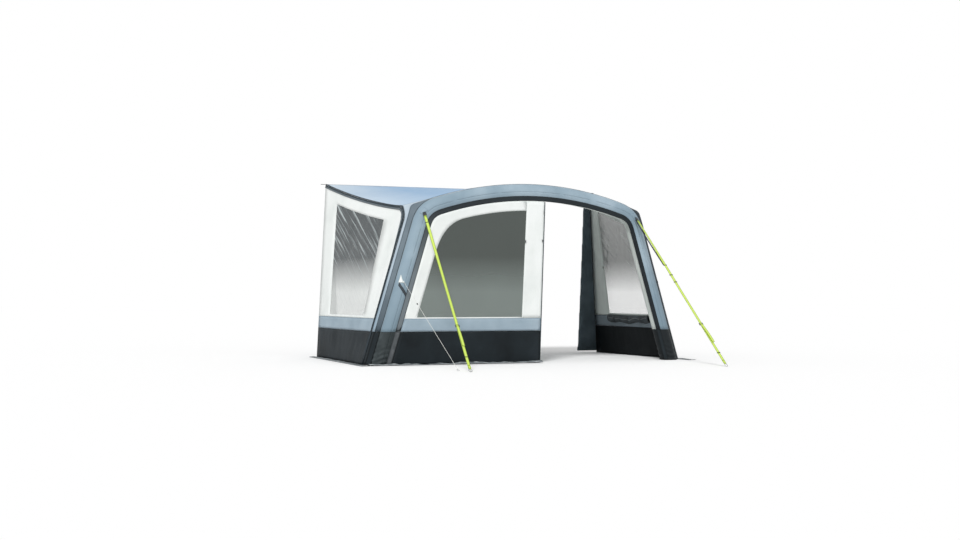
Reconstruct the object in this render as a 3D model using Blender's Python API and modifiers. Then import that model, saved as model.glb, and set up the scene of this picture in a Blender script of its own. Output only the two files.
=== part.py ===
"""Inflatable awning: one air beam across the front, a roof and two side walls that hang from an awning
rail behind, the left front panel in place and the right one taken out.

Metres, +Z up, +Y towards the rail. The origin is on the ground, in the middle of the footprint."""

import math

import bmesh
import bpy
from mathutils import Matrix, Vector

# Overall sizes
rail_width = 4.10
rail_height = 2.40
depth = 2.40                # from the plane behind the rail to the beam's axis
foot_span = 4.06            # between the beam's axes at the ground
shoulder_span = 2.91        # between the axes' corners, before they are rounded
shoulder_height = 1.917
crown_rise = 0.263          # beam axis at the middle, over the corners
shoulder_setback = 0.17     # from the corner to each end of its bend
rear_foot_span = 4.34

# Cloth, film and the gap between neighbours
cloth = 0.002
film = 0.001
gap = 0.0003
flat_seam = gap / 2

# Air beam and its sleeve
sleeve_radius = 0.105
sleeve_wall = 0.0015
beam_clearance = 0.001
beam_wall = 0.001
beam_floor_gap = 0.012
sleeve_sides = 16
bend_steps = 5
crown_steps = 6
foot_pad_thickness = 0.003
inner_seam_sides = 1.25     # sleeve sides from dead ahead to the inner seam
outer_seam_side = 5         # sleeve corners from the inner seam to the outer one

# Trims beside the sleeve
trim_width = 0.065
panel_forward = 0.099       # front panel's plane, ahead of the beam's axis
trim_floor_gap = 0.003
flange_width = 0.077
flange_turn_leg = math.radians(38)
flange_turn_crown = math.radians(86)

# Side walls and roof
wall_line_out = 0.175       # wall's front edge, outside the beam's axis
wall_line_back = 0.13
corner_back = 0.224         # rounded upper front corner of the wall
corner_rise = 0.179
corner_in = 0.016
roof_sag = 0.042
piping_radius = 0.005
skirt_height = 0.41
band_height = 0.16
wall_sill = 0.03
window_front_ground = 0.52  # places behind the beam's axis
window_front_top = 0.665
window_rear_ground_margin = 0.57    # places ahead of the plane behind the rail
window_rear_top_margin = 0.384
window_top_margin = 0.20
front_column_shares = (0.06, 0.14, 0.25, 0.38, 0.52)
window_column_shares = (0.25, 0.50, 0.75)
rear_column_share = 0.5
side_flap_width = 0.115
side_flap_rise = 0.016
front_flap_rise = 0.036
flap_width_shares = (0, 0.25, 0.6, 1)
flap_height_shares = (0, 0, 1, 0.55)
flap_steps = 40
flap_folds = 7
flap_beat = 0.31
front_flap_reach = 0.22     # front edge of the mud flaps, ahead of the beam's axis
flap_under = 0.010
blind_height = 0.10
blind_depth = 0.05
blind_below_sill = 0.012
blind_clearance = 0.0005
blind_sag = 0.02
blind_swell = 0.12
blind_waves = 5
blind_steps = 16
blind_sides = 10

# Rail bead
bead_radius = 0.0035
bead_sides = 8
bead_flap = 0.012
bead_overhang = 0.07

# Seal pads
pad_thickness = 0.03
pad_bottom = 0.02
pad_top_drop = 0.10
pad_bottom_width = 0.3225
pad_top_width = 0.10

# Front panel
front_sill = 0.015
surround_leg = 0.155
surround_crown = 0.125
window_bend_drop = 0.528    # start of the window's rounded corner, below the shoulder
window_bend_reach = 0.30    # its end, along the crown from the beam's own bend
mullion_left_ground = -0.188
mullion_left_top = -0.092
mullion_right_ground = 0.084
mullion_right_top = 0.157
zip_width = 0.012
zip_thickness = 0.0015
zip_top_gap = 0.004
slider_width = 0.009
slider_height = 0.014
slider_depth = 0.005
slider_start = 0.12
pull_width = 0.006
pull_length = 0.030
pull_thickness = 0.0015

# Roof poles
pole_spacing = 1.20
pole_drop = 0.07
pole_wall_gap = 0.004
outer_tube_radius = 0.011
outer_tube_bore = 0.0098
outer_tube_length = 1.35
inner_tube_radius = 0.0094
inner_tube_bore = 0.0082
tube_overlap = 0.45
saddle_radius = 0.015
saddle_thickness = 0.006
collar_radius = 0.016
collar_length = 0.050
ear_thickness = 0.003
ear_size = 0.012
ear_sink = 0.004
lever_width = 0.010
lever_length = 0.048
lever_thickness = 0.005
lever_boss_radius = 0.004
lever_drop = 0.006          # pivot below the collar
round_sides = 12

# Valve
valve_level = 0.75
valve_side = 9              # sleeve side that the valve sits on
valve_flange_radius = 0.018
valve_flange_thickness = 0.002
valve_neck_radius = 0.012
valve_neck_depth = 0.009
valve_collar_radius = 0.014
valve_collar_height = 0.009
valve_bore = 0.008
valve_cap_radius = 0.0155
valve_cap_thickness = 0.004
valve_hinge_radius = 0.0185
valve_tab_width = 0.006
valve_tab_end = 0.0015

# Storm straps, guy line and their fittings
strap_width = 0.040
strap_thickness = 0.0025
left_strap_peg = (-1.52, -1.75)     # across, and behind the beam's axis
right_strap_peg = (1.82, -1.75)
strap_twist_end = 0.4       # share of the strap after which it lies level
strap_twist_steps = 8
clip_side = 2               # sleeve side that the straps' clips are sewn to
clip_width = 0.048
clip_length = 0.060
clip_thickness = 0.008
ring_radius = 0.020
ring_wire = 0.003
buckle_width = 0.052
buckle_length = 0.034
buckle_thickness = 0.010
buckle_share = 0.74
guy_level = 1.03
guy_corner = 2              # sleeve corner that the guy tab is sewn to
guy_peg = (-1.57, -1.50)
guy_radius = 0.002
guy_points = 24
guy_tab_width = 0.022
guy_tab_length = 0.030
guy_slider_share = 0.26
guy_slider_width = 0.014
guy_slider_length = 0.026
guy_slider_thickness = 0.009
guy_slider_bore = 0.0026
guy_ring_radius = 0.012
guy_ring_wire = 0.002
ring_steps = 16
wire_steps = 8
ring_settling_rounds = 8
cut_overrun = 0.002

# Worked out from the sizes above
rail_half = rail_width / 2
foot_half = foot_span / 2
corner_half = shoulder_span / 2
rear_foot_half = rear_foot_span / 2
beam_y = -(depth - front_flap_reach) / 2
band_top = skirt_height + band_height
trim_out = sleeve_radius * math.sin(math.tau * inner_seam_sides / sleeve_sides) + trim_width
rail_back = depth - 2 * bead_radius - bead_flap - gap
flap_top = cloth + gap
side_turn = math.tau / sleeve_sides
crown_radius = (corner_half ** 2 + crown_rise ** 2) / (2 * crown_rise)
crown_centre = shoulder_height + crown_rise - crown_radius
window_rear_ground = depth - window_rear_ground_margin
window_rear_top = depth - window_rear_top_margin
leg_length = math.hypot(foot_half - corner_half, shoulder_height)
leg_up = ((corner_half - foot_half) / leg_length, shoulder_height / leg_length)
backwards = Vector((0, 1, 0))
upwards = Vector((0, 0, 1))
across = Vector((1, 0, 0))


def lerp(a, b, share):
    return a + (b - a) * share


def eased(share):
    return share * share * (3 - 2 * share)


def place(x, back, z):
    """A point given across, behind the beam's axis and up."""
    return Vector((x, beam_y + back, z))


# Scene, collections and materials


def clear_scene():
    for old in list(bpy.data.objects):
        bpy.data.objects.remove(old, do_unlink=True)


def new_collection(name):
    made = bpy.data.collections.new(name)
    bpy.context.scene.collection.children.link(made)
    return made


def new_material(name, colour, roughness, metallic=0.0, alpha=1.0):
    made = bpy.data.materials.new(name)
    made.use_nodes = True
    shader = made.node_tree.nodes["Principled BSDF"]
    shader.inputs["Base Color"].default_value = (*colour, 1)
    shader.inputs["Roughness"].default_value = roughness
    shader.inputs["Metallic"].default_value = metallic
    shader.inputs["Alpha"].default_value = alpha
    made.diffuse_color = (*colour, alpha)
    return made


clear_scene()
parts = new_collection("awning")
cutters = new_collection("cutters")
sleeve_cloth = new_material("sleeve_cloth", (0.32, 0.42, 0.48), 0.7)
roof_cloth = new_material("roof_cloth", (0.45, 0.58, 0.68), 0.7)
white_cloth = new_material("white_cloth", (0.80, 0.82, 0.80), 0.75)
band_cloth = new_material("band_cloth", (0.30, 0.40, 0.47), 0.7)
skirt_cloth = new_material("skirt_cloth", (0.05, 0.06, 0.07), 0.8)
trim_cloth = new_material("trim_cloth", (0.07, 0.09, 0.10), 0.75)
clear_film = new_material("clear_film", (0.75, 0.80, 0.80), 0.1, alpha=0.3)
pad_cloth = new_material("pad_cloth", (0.03, 0.045, 0.045), 0.85)
lime_webbing = new_material("lime_webbing", (0.52, 0.74, 0.06), 0.8)
black_plastic = new_material("black_plastic", (0.02, 0.02, 0.02), 0.45)
tube_metal = new_material("tube_metal", (0.55, 0.56, 0.58), 0.35, metallic=1.0)
beam_film = new_material("beam_film", (0.70, 0.72, 0.70), 0.4)
white_rope = new_material("white_rope", (0.85, 0.85, 0.82), 0.8)


# Mesh helpers


def link(obj, material=None, parent=None):
    parts.objects.link(obj)
    if material:
        obj.data.materials.append(material)
    if parent:
        obj.parent = parent
    return obj


def as_helper(obj):
    """Keeps an object that only cuts or joins others out of the model."""
    for home in list(obj.users_collection):
        home.objects.unlink(obj)
    cutters.objects.link(obj)
    obj.hide_render = True
    obj.display_type = "WIRE"
    return obj


def mesh_object(name, bm, material=None, parent=None):
    mesh = bpy.data.meshes.new(name)
    bmesh.ops.recalc_face_normals(bm, faces=bm.faces)
    bm.to_mesh(mesh)
    bm.free()
    return link(bpy.data.objects.new(name, mesh), material, parent)


def sheet(name, rows, thickness, material, holes=(), closed=False, offset=0):
    """Cloth lofted through rows of points, with its thickness. Holes are cells left out."""
    bm = bmesh.new()
    grid = [[bm.verts.new(point) for point in row] for row in rows]
    columns = len(rows[0])
    for r in range(len(rows) - 1):
        for c in range(columns if closed else columns - 1):
            if (r, c) not in holes:
                d = (c + 1) % columns
                bm.faces.new((grid[r][c], grid[r][d], grid[r + 1][d], grid[r + 1][c]))
    made = mesh_object(name, bm, material)
    solid = made.modifiers.new("thickness", "SOLIDIFY")
    solid.thickness = thickness
    solid.offset = offset
    return made


def lofted(name, rings, material):
    """A solid through rings of points, closed at both ends."""
    bm = bmesh.new()
    rings = [[bm.verts.new(point) for point in ring] for ring in rings]
    sides = len(rings[0])
    for ring, after in zip(rings, rings[1:]):
        for c in range(sides):
            d = (c + 1) % sides
            bm.faces.new((ring[c], ring[d], after[d], after[c]))
    bm.faces.new(rings[0])
    bm.faces.new(rings[-1])
    return mesh_object(name, bm, material)


def pulled(edge, inner, amount):
    """An edge moved towards the next row of points, square to itself."""
    if not amount:
        return list(edge)
    moved = []
    last = len(edge) - 1
    for i, (point, other) in enumerate(zip(edge, inner)):
        along = edge[min(i + 1, last)] - edge[max(i - 1, 0)]
        side = other - point
        slope = along.cross(side).length / (along.length * side.length)
        moved.append(point + side.normalized() * (amount / slope))
    return moved


def inset(rows, first=0, last=0, left=0, right=0):
    """Rows of points with each side of the sheet pulled in by its own amount."""
    rows = [list(row) for row in rows]
    columns = [list(column) for column in zip(*rows)]
    start = pulled(columns[0], columns[1], left)
    end = pulled(columns[-1], columns[-2], right)
    for row, a, b in zip(rows, start, end):
        row[0] = a
        row[-1] = b
    low = pulled(rows[0], rows[1], first)
    high = pulled(rows[-1], rows[-2], last)
    rows[0] = low
    rows[-1] = high
    return rows


def fold_inset(turn):
    """How far cloth stops short of a seam where its neighbour leaves at this turn."""
    return cloth / 2 * math.tan(turn / 2) + flat_seam


def tube_curve(name, points, radius, material, resolution=2):
    curve = bpy.data.curves.new(name, "CURVE")
    curve.dimensions = "3D"
    curve.bevel_depth = radius
    curve.bevel_resolution = resolution
    curve.use_fill_caps = True
    spline = curve.splines.new("POLY")
    spline.points.add(len(points) - 1)
    for target, point in zip(spline.points, points):
        target.co = (*point, 1)
    return link(bpy.data.objects.new(name, curve), material)


def plate(name, outline, thickness, material, parent=None):
    """A flat outline in X and Y, given a thickness along Z about its plane."""
    curve = bpy.data.curves.new(name, "CURVE")
    curve.dimensions = "2D"
    curve.fill_mode = "BOTH"
    curve.extrude = thickness / 2
    spline = curve.splines.new("POLY")
    spline.points.add(len(outline) - 1)
    for target, (x, y) in zip(spline.points, outline):
        target.co = (x, y, 0, 1)
    spline.use_cyclic_u = True
    return link(bpy.data.objects.new(name, curve), material, parent)


def shrunk(outline, amount):
    """A flat outline, counted clockwise, moved inwards all round."""
    made = []
    for i, (x, y) in enumerate(outline):
        before, after = outline[i - 1], outline[(i + 1) % len(outline)]
        a = Vector((x - before[0], y - before[1])).normalized()
        b = Vector((after[0] - x, after[1] - y)).normalized()
        inwards = (a + b).normalized()
        reach = amount / inwards.dot(a)
        made.append((x + inwards.y * reach, y - inwards.x * reach))
    return made


def turned(name, profile, material, parent=None, steps=round_sides):
    """A profile of (radius, height), turned about Z. Its outer side runs from top to bottom."""
    bm = bmesh.new()
    points = [bm.verts.new((radius, 0, height)) for radius, height in profile]
    for a, b in zip(points, points[1:]):
        bm.edges.new((a, b))
    mesh = bpy.data.meshes.new(name)
    bm.to_mesh(mesh)
    bm.free()
    made = link(bpy.data.objects.new(name, mesh), material, parent)
    screw = made.modifiers.new("turn", "SCREW")
    screw.steps = steps
    screw.render_steps = steps
    screw.use_merge_vertices = True
    screw.merge_threshold = 0.0001
    screw.use_smooth_shade = True
    return made


def block(name, size, material=None, parent=None):
    bm = bmesh.new()
    bmesh.ops.create_cube(bm, size=1, matrix=Matrix.Diagonal((*size, 1)))
    return mesh_object(name, bm, material, parent)


def cylinder(name, radius, length, parent=None):
    bm = bmesh.new()
    bmesh.ops.create_cone(
        bm, cap_ends=True, segments=round_sides, radius1=radius, radius2=radius, depth=length
    )
    return mesh_object(name, bm, parent=parent)


def boolean(obj, other, operation):
    cut = obj.modifiers.new(operation.lower(), "BOOLEAN")
    cut.operation = operation
    cut.object = as_helper(other)


def frame_at(origin, z_axis, x_axis):
    """A placing matrix with its Z along one direction and its X as near another as it can be."""
    z = z_axis.normalized()
    y = z.cross(x_axis).normalized()
    x = y.cross(z)
    return Matrix.Translation(origin) @ Matrix((x, y, z)).transposed().to_4x4()


def empty_at(name, matrix):
    made = bpy.data.objects.new(name, None)
    parts.objects.link(made)
    made.matrix_world = matrix
    return made


# The beam's line, from the left foot over the crown to the right one


class Station:
    """A place on the beam's axis: where it is, which way is up along it and which way is out."""

    def __init__(self, x, z, up, level=False, crown=0.0):
        self.x, self.z = x, z
        self.up = up
        self.out = (up[1], -up[0])
        self.level = level      # cut level with the ground, not square to the axis
        self.crown = crown      # 0 on the legs, 1 over the roof

    def at(self, out, back, side=1):
        x = self.x + self.out[0] * out
        z = self.z + self.out[1] * out
        if self.level:
            slide = (self.z - z) / self.up[1]
            x += self.up[0] * slide
            z = self.z
        return place(side * x, back, z)


def leg_station(level):
    share = level / shoulder_height
    return Station(lerp(foot_half, corner_half, share), level, leg_up, level=True)


def meeting_point(start, start_up, end, end_up):
    """Where two lines in the beam's plane meet, each given by a point and its way up."""
    wedge = start_up[0] * end_up[1] - start_up[1] * end_up[0]
    reach = ((end[0] - start[0]) * end_up[1] - (end[1] - start[1]) * end_up[0]) / wedge
    return start[0] + start_up[0] * reach, start[1] + start_up[1] * reach


def crown_station(angle):
    x = crown_radius * math.sin(angle)
    z = crown_centre + crown_radius * math.cos(angle)
    return Station(x, z, (-math.cos(angle), math.sin(angle)), crown=1.0)


def bend_stations():
    start = (corner_half - leg_up[0] * shoulder_setback, shoulder_height - leg_up[1] * shoulder_setback)
    turn = math.asin(corner_half / crown_radius) - shoulder_setback / crown_radius
    last = crown_station(turn)
    end = (last.x, last.z)
    corner = meeting_point(start, leg_up, end, last.up)
    made = []
    for step in range(bend_steps + 1):
        share = step / bend_steps
        a, b = [
            (lerp(start[i], corner[i], share), lerp(corner[i], end[i], share)) for i in range(2)
        ]
        run, climb = a[1] - a[0], b[1] - b[0]
        length = math.hypot(run, climb)
        made.append(
            Station(
                lerp(*a, share), lerp(*b, share), (run / length, climb / length), crown=eased(share)
            )
        )
    return made, turn


bend, crown_turn = bend_stations()
crown = [crown_station(crown_turn * (1 - step / crown_steps)) for step in range(1, crown_steps + 1)]
half_beam = bend + crown


def along_beam(point_of, floor):
    """Points at every station from the left foot to the right one. It is given a station and a side."""
    half = [leg_station(floor), *half_beam]
    left = [point_of(station, -1) for station in half]
    right = [point_of(station, 1) for station in reversed(half[:-1])]
    return left + right


def sleeve_corner(station, side, corner, radius=sleeve_radius):
    """A corner of the sleeve's many-sided section, counted from its inner seam."""
    turn = (corner - inner_seam_sides) * side_turn
    return station.at(radius * math.sin(turn), -radius * math.cos(turn), side)


def lapped_on(station, side):
    """The outer trim's start, where it lies on the sleeve's outer seam."""
    return sleeve_corner(station, side, outer_seam_side, sleeve_radius + cloth / 2 + gap)


def sleeve_ring(station, side, radius):
    return [sleeve_corner(station, side, corner, radius) for corner in range(sleeve_sides)]


def flange_edge(station, side):
    turn = lerp(flange_turn_leg, flange_turn_crown, station.crown)
    seam_turn = (outer_seam_side - inner_seam_sides) * side_turn
    out = sleeve_radius * math.sin(seam_turn) + flange_width * math.cos(turn)
    back = -sleeve_radius * math.cos(seam_turn) + flange_width * math.sin(turn)
    return station.at(out, back, side)


def trim_edge(station, side):
    return station.at(-trim_out, -panel_forward, side)


def window_edge(station, side):
    width = lerp(surround_leg, surround_crown, station.crown)
    return station.at(-trim_out - width, -panel_forward, side)


def window_corner():
    """The left window's rounded corner, from its straight side to where it follows the crown."""
    last = crown_station(crown_turn - window_bend_reach / crown_radius)
    start = window_edge(leg_station(shoulder_height - window_bend_drop), 1)
    end = window_edge(last, 1)
    corner = meeting_point((start.x, start.z), leg_up, (end.x, end.z), last.up)
    made = []
    for step in range(bend_steps + 2):
        share = step / (bend_steps + 1)
        a = (lerp(start.x, corner[0], share), lerp(start.z, corner[1], share))
        b = (lerp(corner[0], end.x, share), lerp(corner[1], end.z, share))
        made.append(place(-lerp(a[0], b[0], share), -panel_forward, lerp(a[1], b[1], share)))
    return made


# Lines of the side walls


def wall_front(station, side):
    return station.at(wall_line_out, wall_line_back, side)


def corner_points(side):
    """The wall's rounded corner, from its straight front edge to the roof edge."""
    start = wall_front(bend[0], side)
    made = []
    for step in range(bend_steps + 1):
        turn = math.pi / 2 * step / bend_steps
        made.append(
            start
            + Vector(
                (
                    -side * corner_in * math.sin(turn),
                    corner_back * (1 - math.cos(turn)),
                    corner_rise * math.sin(turn),
                )
            )
        )
    return made


corner_depth = wall_line_back + corner_back
window_shares = (0, *window_column_shares, 1)
window_tops = [lerp(window_front_top, window_rear_top, share) for share in window_shares]
edge_depths = [*window_tops, lerp(window_rear_top, rail_back, rear_column_share), rail_back]


def roof_edge(back, side):
    """The roof's side edge, from the wall's corner to the rail."""
    start = corner_points(side)[-1]
    share = (back - corner_depth) / (rail_back - corner_depth)
    x = lerp(start.x, side * rail_half, share)
    z = lerp(start.z, rail_height, share) - 4 * roof_sag * share * (1 - share)
    return place(x, back, z)


def ground_line(back, side):
    front = wall_front(leg_station(0), side).x
    share = (back - wall_line_back) / (rail_back - wall_line_back)
    return place(lerp(front, side * rear_foot_half, share), back, 0)


def wall_columns(side):
    """Pairs of ground point and top point that the wall is ruled through, front to rear."""
    tops = corner_points(side) + [roof_edge(back, side) for back in edge_depths]
    grounds = [wall_line_back]
    grounds += [lerp(wall_line_back, window_front_ground, share) for share in front_column_shares]
    grounds += [lerp(window_front_ground, window_rear_ground, share) for share in window_shares]
    grounds += [lerp(window_rear_ground, rail_back, rear_column_share), rail_back]
    return [(ground_line(back, side), top) for back, top in zip(grounds, tops)]


window_first = bend_steps + 1
window_last = window_first + len(window_column_shares) + 1


def on_column(column, height):
    ground, top = column
    return ground.lerp(top, height / top.z)


def wall_edge(side):
    """The wall's front and top edge, from the ground to the rail."""
    path = [wall_front(leg_station(trim_floor_gap), side), *corner_points(side)]
    return path + [roof_edge(back, side) for back in edge_depths]


def below_edge(side, amount):
    """The wall's top row, this far inside its front and top edge."""
    path = wall_edge(side)
    made = []
    for i, (ground, top) in enumerate(wall_columns(side), 1):
        along = path[min(i + 1, len(path) - 1)] - path[i - 1]
        inwards = (top - ground).cross(backwards).cross(along)
        made.append(path[i] + inwards.normalized() * amount)
    return made


def wall_rows(side, heights, first=0, last=None):
    """Rows of wall points. A height is a number, or counts down from the column's top when negative."""
    columns = wall_columns(side)[first : None if last is None else last + 1]
    return [
        [on_column(column, height if height >= 0 else column[1].z + height) for column in columns]
        for height in heights
    ]


# Air beam


def build_sleeve():
    start = skirt_height + flat_seam
    rows = along_beam(lambda station, side: sleeve_ring(station, side, sleeve_radius), start)
    sleeve = sheet("arch_sleeve", rows, sleeve_wall, sleeve_cloth, closed=True, offset=-1)
    sleeve.data.shade_smooth()
    return sleeve


def build_boots():
    for name, side in (("left", -1), ("right", 1)):
        low = leg_station(foot_pad_thickness + 2 * gap)
        high = leg_station(skirt_height - flat_seam)
        rows = [sleeve_ring(station, side, sleeve_radius) for station in (low, high)]
        boot = sheet(f"sleeve_boot_{name}", rows, sleeve_wall, skirt_cloth, closed=True, offset=-1)
        boot.data.shade_smooth()
        outline = [(p.x, p.y) for p in sleeve_ring(leg_station(0), side, sleeve_radius)]
        if side < 0:
            outline.reverse()
        pad = plate(f"foot_pad_{name}", outline, foot_pad_thickness, black_plastic)
        pad.location.z = foot_pad_thickness / 2


def build_air_beam():
    radius = sleeve_radius - sleeve_wall - beam_clearance
    rows = along_beam(lambda station, side: sleeve_ring(station, side, radius), beam_floor_gap)
    beam = lofted("air_beam", rows, beam_film)
    solid = beam.modifiers.new("thickness", "SOLIDIFY")
    solid.thickness = beam_wall
    solid.offset = -1
    return beam


def build_valve(sleeve, beam):
    """A filling valve on the inner face of the right leg, with a cap that flips open."""
    station = leg_station(valve_level)
    a = sleeve_corner(station, 1, valve_side)
    b = sleeve_corner(station, 1, valve_side + 1)
    outward = (a + b) / 2 - station.at(0, 0)
    along = Vector((leg_up[0], 0, leg_up[1]))
    outward -= along * outward.dot(along)
    mount = empty_at("valve_frame", frame_at((a + b) / 2, outward, along))
    top = gap + valve_flange_thickness
    profile = [
        (valve_bore, -valve_neck_depth),
        (valve_bore, top + valve_collar_height),
        (valve_collar_radius, top + valve_collar_height),
        (valve_collar_radius, top),
        (valve_flange_radius, top),
        (valve_flange_radius, gap),
        (valve_neck_radius, gap),
        (valve_neck_radius, -valve_neck_depth),
        (valve_bore, -valve_neck_depth),
    ]
    turned("valve_body", profile, black_plastic, mount)
    for tube in (sleeve, beam):
        hole = cylinder(f"valve_hole_{tube.name}", valve_neck_radius + gap, 2 * valve_neck_depth, mount)
        boolean(tube, hole, "DIFFERENCE")
    half_tab = valve_tab_width / 2
    start = math.asin(half_tab / valve_cap_radius)
    tab_end = valve_hinge_radius + valve_tab_end
    outline = [(tab_end - valve_hinge_radius, -half_tab), (tab_end - valve_hinge_radius, half_tab)]
    for step in range(ring_steps + 1):
        turn = lerp(start, math.tau - start, step / ring_steps)
        outline.append(
            (valve_cap_radius * math.cos(turn) - valve_hinge_radius, valve_cap_radius * math.sin(turn))
        )
    cap = plate("valve_cap", outline, valve_cap_thickness, black_plastic, mount)
    cap.location = (valve_hinge_radius, 0, top + valve_collar_height + gap + valve_cap_thickness / 2)


# Trims, gussets and roof


def build_trims():
    rows = [
        along_beam(lambda s, side: sleeve_corner(s, side, 0), trim_floor_gap),
        along_beam(trim_edge, trim_floor_gap),
    ]
    rows = inset(rows, first=cloth / 2 + gap + flat_seam, last=flat_seam)
    sheet("inner_trim", rows, cloth, trim_cloth)
    rows = [
        along_beam(lapped_on, trim_floor_gap),
        along_beam(flange_edge, trim_floor_gap),
    ]
    sheet("outer_trim", inset(rows, last=gusset_fold()), cloth, trim_cloth)


def gusset_fold():
    station = leg_station(0)
    edge = flange_edge(station, 1)
    strip = wall_front(station, 1) - edge
    flange = edge - sleeve_corner(station, 1, outer_seam_side)
    return fold_inset(flange.angle(strip))


def build_gussets():
    """The strip between the beam and each wall, which widens into a fan under the roof's corner."""
    for name, side in (("left", -1), ("right", 1)):
        legs = leg_station(trim_floor_gap)
        inner = [flange_edge(legs, side)] + [flange_edge(station, side) for station in bend]
        outer = [wall_front(legs, side)] + corner_points(side)
        rows = inset([inner, outer], first=gusset_fold(), last=piping_radius + gap, right=gusset_fold())
        sheet(f"gusset_{name}", rows, cloth, roof_cloth)


def roof_rows():
    """The roof between the beam, its two side edges and the rail."""
    stations = [bend[-1], *crown]
    left = [flange_edge(station, -1) for station in stations]
    right = [flange_edge(station, 1) for station in reversed(stations[:-1])]
    front = [corner_points(-1)[-1], *left, *right, corner_points(1)[-1]]
    span = front[-1].x - front[0].x
    shares = [(point.x - front[0].x) / span for point in front]
    rear = [place(lerp(-rail_half, rail_half, share), rail_back, rail_height) for share in shares]
    rows = []
    for back in (corner_depth, *edge_depths):
        t = (back - corner_depth) / (rail_back - corner_depth)
        left_edge, right_edge = roof_edge(back, -1), roof_edge(back, 1)
        row = []
        for s, near, far in zip(shares, front, rear):
            ruled = near.lerp(far, t) + left_edge.lerp(right_edge, s)
            row.append(ruled - front[0].lerp(front[-1], s).lerp(rear[0].lerp(rear[-1], s), t))
        rows.append(row)
    return rows


def build_roof():
    edge = piping_radius + gap
    rows = inset(roof_rows(), first=gusset_fold(), last=flat_seam, left=edge, right=edge)
    sheet("roof_panel", rows, cloth, roof_cloth)


def build_rail_bead():
    """The bead that slides into the rail, with the flap that the roof is sewn to."""
    half_turn = math.pi / bead_sides
    corner = bead_radius / math.cos(half_turn)
    outline = [(-bead_radius - bead_flap, -cloth / 2), (-bead_radius, -cloth / 2)]
    for step in range(bead_sides):
        turn = -math.pi + half_turn * (2 * step + 1)
        outline.append((corner * math.cos(turn), corner * math.sin(turn)))
    outline += [(-bead_radius, cloth / 2), (-bead_radius - bead_flap, cloth / 2)]
    bead = plate("rail_bead", outline, rail_width + 2 * bead_overhang, trim_cloth)
    bead.matrix_world = frame_at(place(0, depth - bead_radius, rail_height), across, backwards)


# Side walls


def build_wall(name, side):
    edge = piping_radius + gap
    rows = wall_rows(side, (flap_top, skirt_height))
    sheet(f"wall_skirt_{name}", inset(rows, last=flat_seam, left=edge), cloth, skirt_cloth)
    rows = wall_rows(side, (skirt_height, band_top))
    rows = inset(rows, first=flat_seam, last=flat_seam, left=edge)
    sheet(f"wall_band_{name}", rows, cloth, band_cloth)
    build_wall_surround(name, side)
    path = wall_edge(side)
    path[-1] = roof_edge(rail_back - piping_radius, side)
    tube_curve(f"wall_piping_{name}", path, piping_radius, trim_cloth)
    build_flap(name, side)
    build_blind(name, side)
    build_seal_pad(name, side)


def build_wall_surround(name, side):
    edge = piping_radius + gap
    sill = band_top + wall_sill
    top = -window_top_margin
    rows = inset(wall_rows(side, (band_top, sill, top)), first=flat_seam, left=edge)
    rows.append(below_edge(side, edge + gap))
    holes = {(1, c) for c in range(window_first, window_last)}
    sheet(f"wall_surround_{name}", rows, cloth, white_cloth, holes=holes)
    rows = wall_rows(side, (sill, top), window_first, window_last)
    rows = inset(rows, gap, gap, gap, gap)
    sheet(f"wall_window_{name}", rows, film, clear_film)


def flap_wave(share, lead):
    """How high a mud flap is rumpled, as a share of its most, at a place along it."""
    turn = math.tau * flap_folds * (share + lead)
    return (1 + math.sin(turn) * math.cos(flap_beat * turn)) / 2


def build_flap(name, side):
    """The mud flap that lies outwards on the ground beside the wall, a little rumpled."""
    front = wall_front(leg_station(0), side).x
    start = wall_line_back + 2 * piping_radius
    rows = [[] for _ in flap_width_shares]
    for step in range(flap_steps + 1):
        share = step / flap_steps
        back = lerp(-front_flap_reach, rail_back, share)
        line = lerp(front, side * rear_foot_half, max(0, (back - start) / (rail_back - start)))
        inner = line + side * (piping_radius + gap) if back < start else line - side * flap_under
        for row, wide, high in zip(rows, flap_width_shares, flap_height_shares):
            x = lerp(inner, line + side * side_flap_width, wide)
            z = cloth / 2 + side_flap_rise * high * flap_wave(share, wide / flap_folds)
            row.append(place(x, back, z))
    sheet(f"mud_flap_{name}", rows, cloth, skirt_cloth)


def along_row(row, share):
    """A point a share of the way along a row of points, counted by its points."""
    last = len(row) - 1
    cell = min(int(share * last), last - 1)
    return row[cell].lerp(row[cell + 1], share * last - cell)


def build_blind(name, side):
    """The blind, rolled up below the window on the inside, which sags between its toggles."""
    low, high = wall_rows(side, (band_top, band_top + wall_sill), window_first, window_last)
    inwards = (high[0] - low[0]).cross(high[-1] - high[0]).normalized()
    if inwards.x * side > 0:
        inwards.negate()
    rings = []
    for step in range(blind_steps + 1):
        share = step / blind_steps
        edge = along_row(high, share)
        down = (along_row(low, share) - edge).normalized()
        fold = math.sin(blind_waves * math.pi * share)
        tall = blind_height / 2 * (1 + blind_swell * fold)
        thick = blind_depth / 2 * (1 - blind_swell * fold)
        drop = blind_below_sill + tall + blind_sag * math.sin(math.pi * share)
        middle = edge + down * drop + inwards * (cloth / 2 + blind_clearance + thick)
        ring = []
        for corner in range(blind_sides):
            turn = math.tau * (corner + 0.5) / blind_sides
            ring.append(middle + down * (tall * math.cos(turn)) + inwards * (thick * math.sin(turn)))
        rings.append(ring)
    blind = lofted(f"blind_roll_{name}", rings, skirt_cloth)
    blind.data.shade_smooth()


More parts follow.
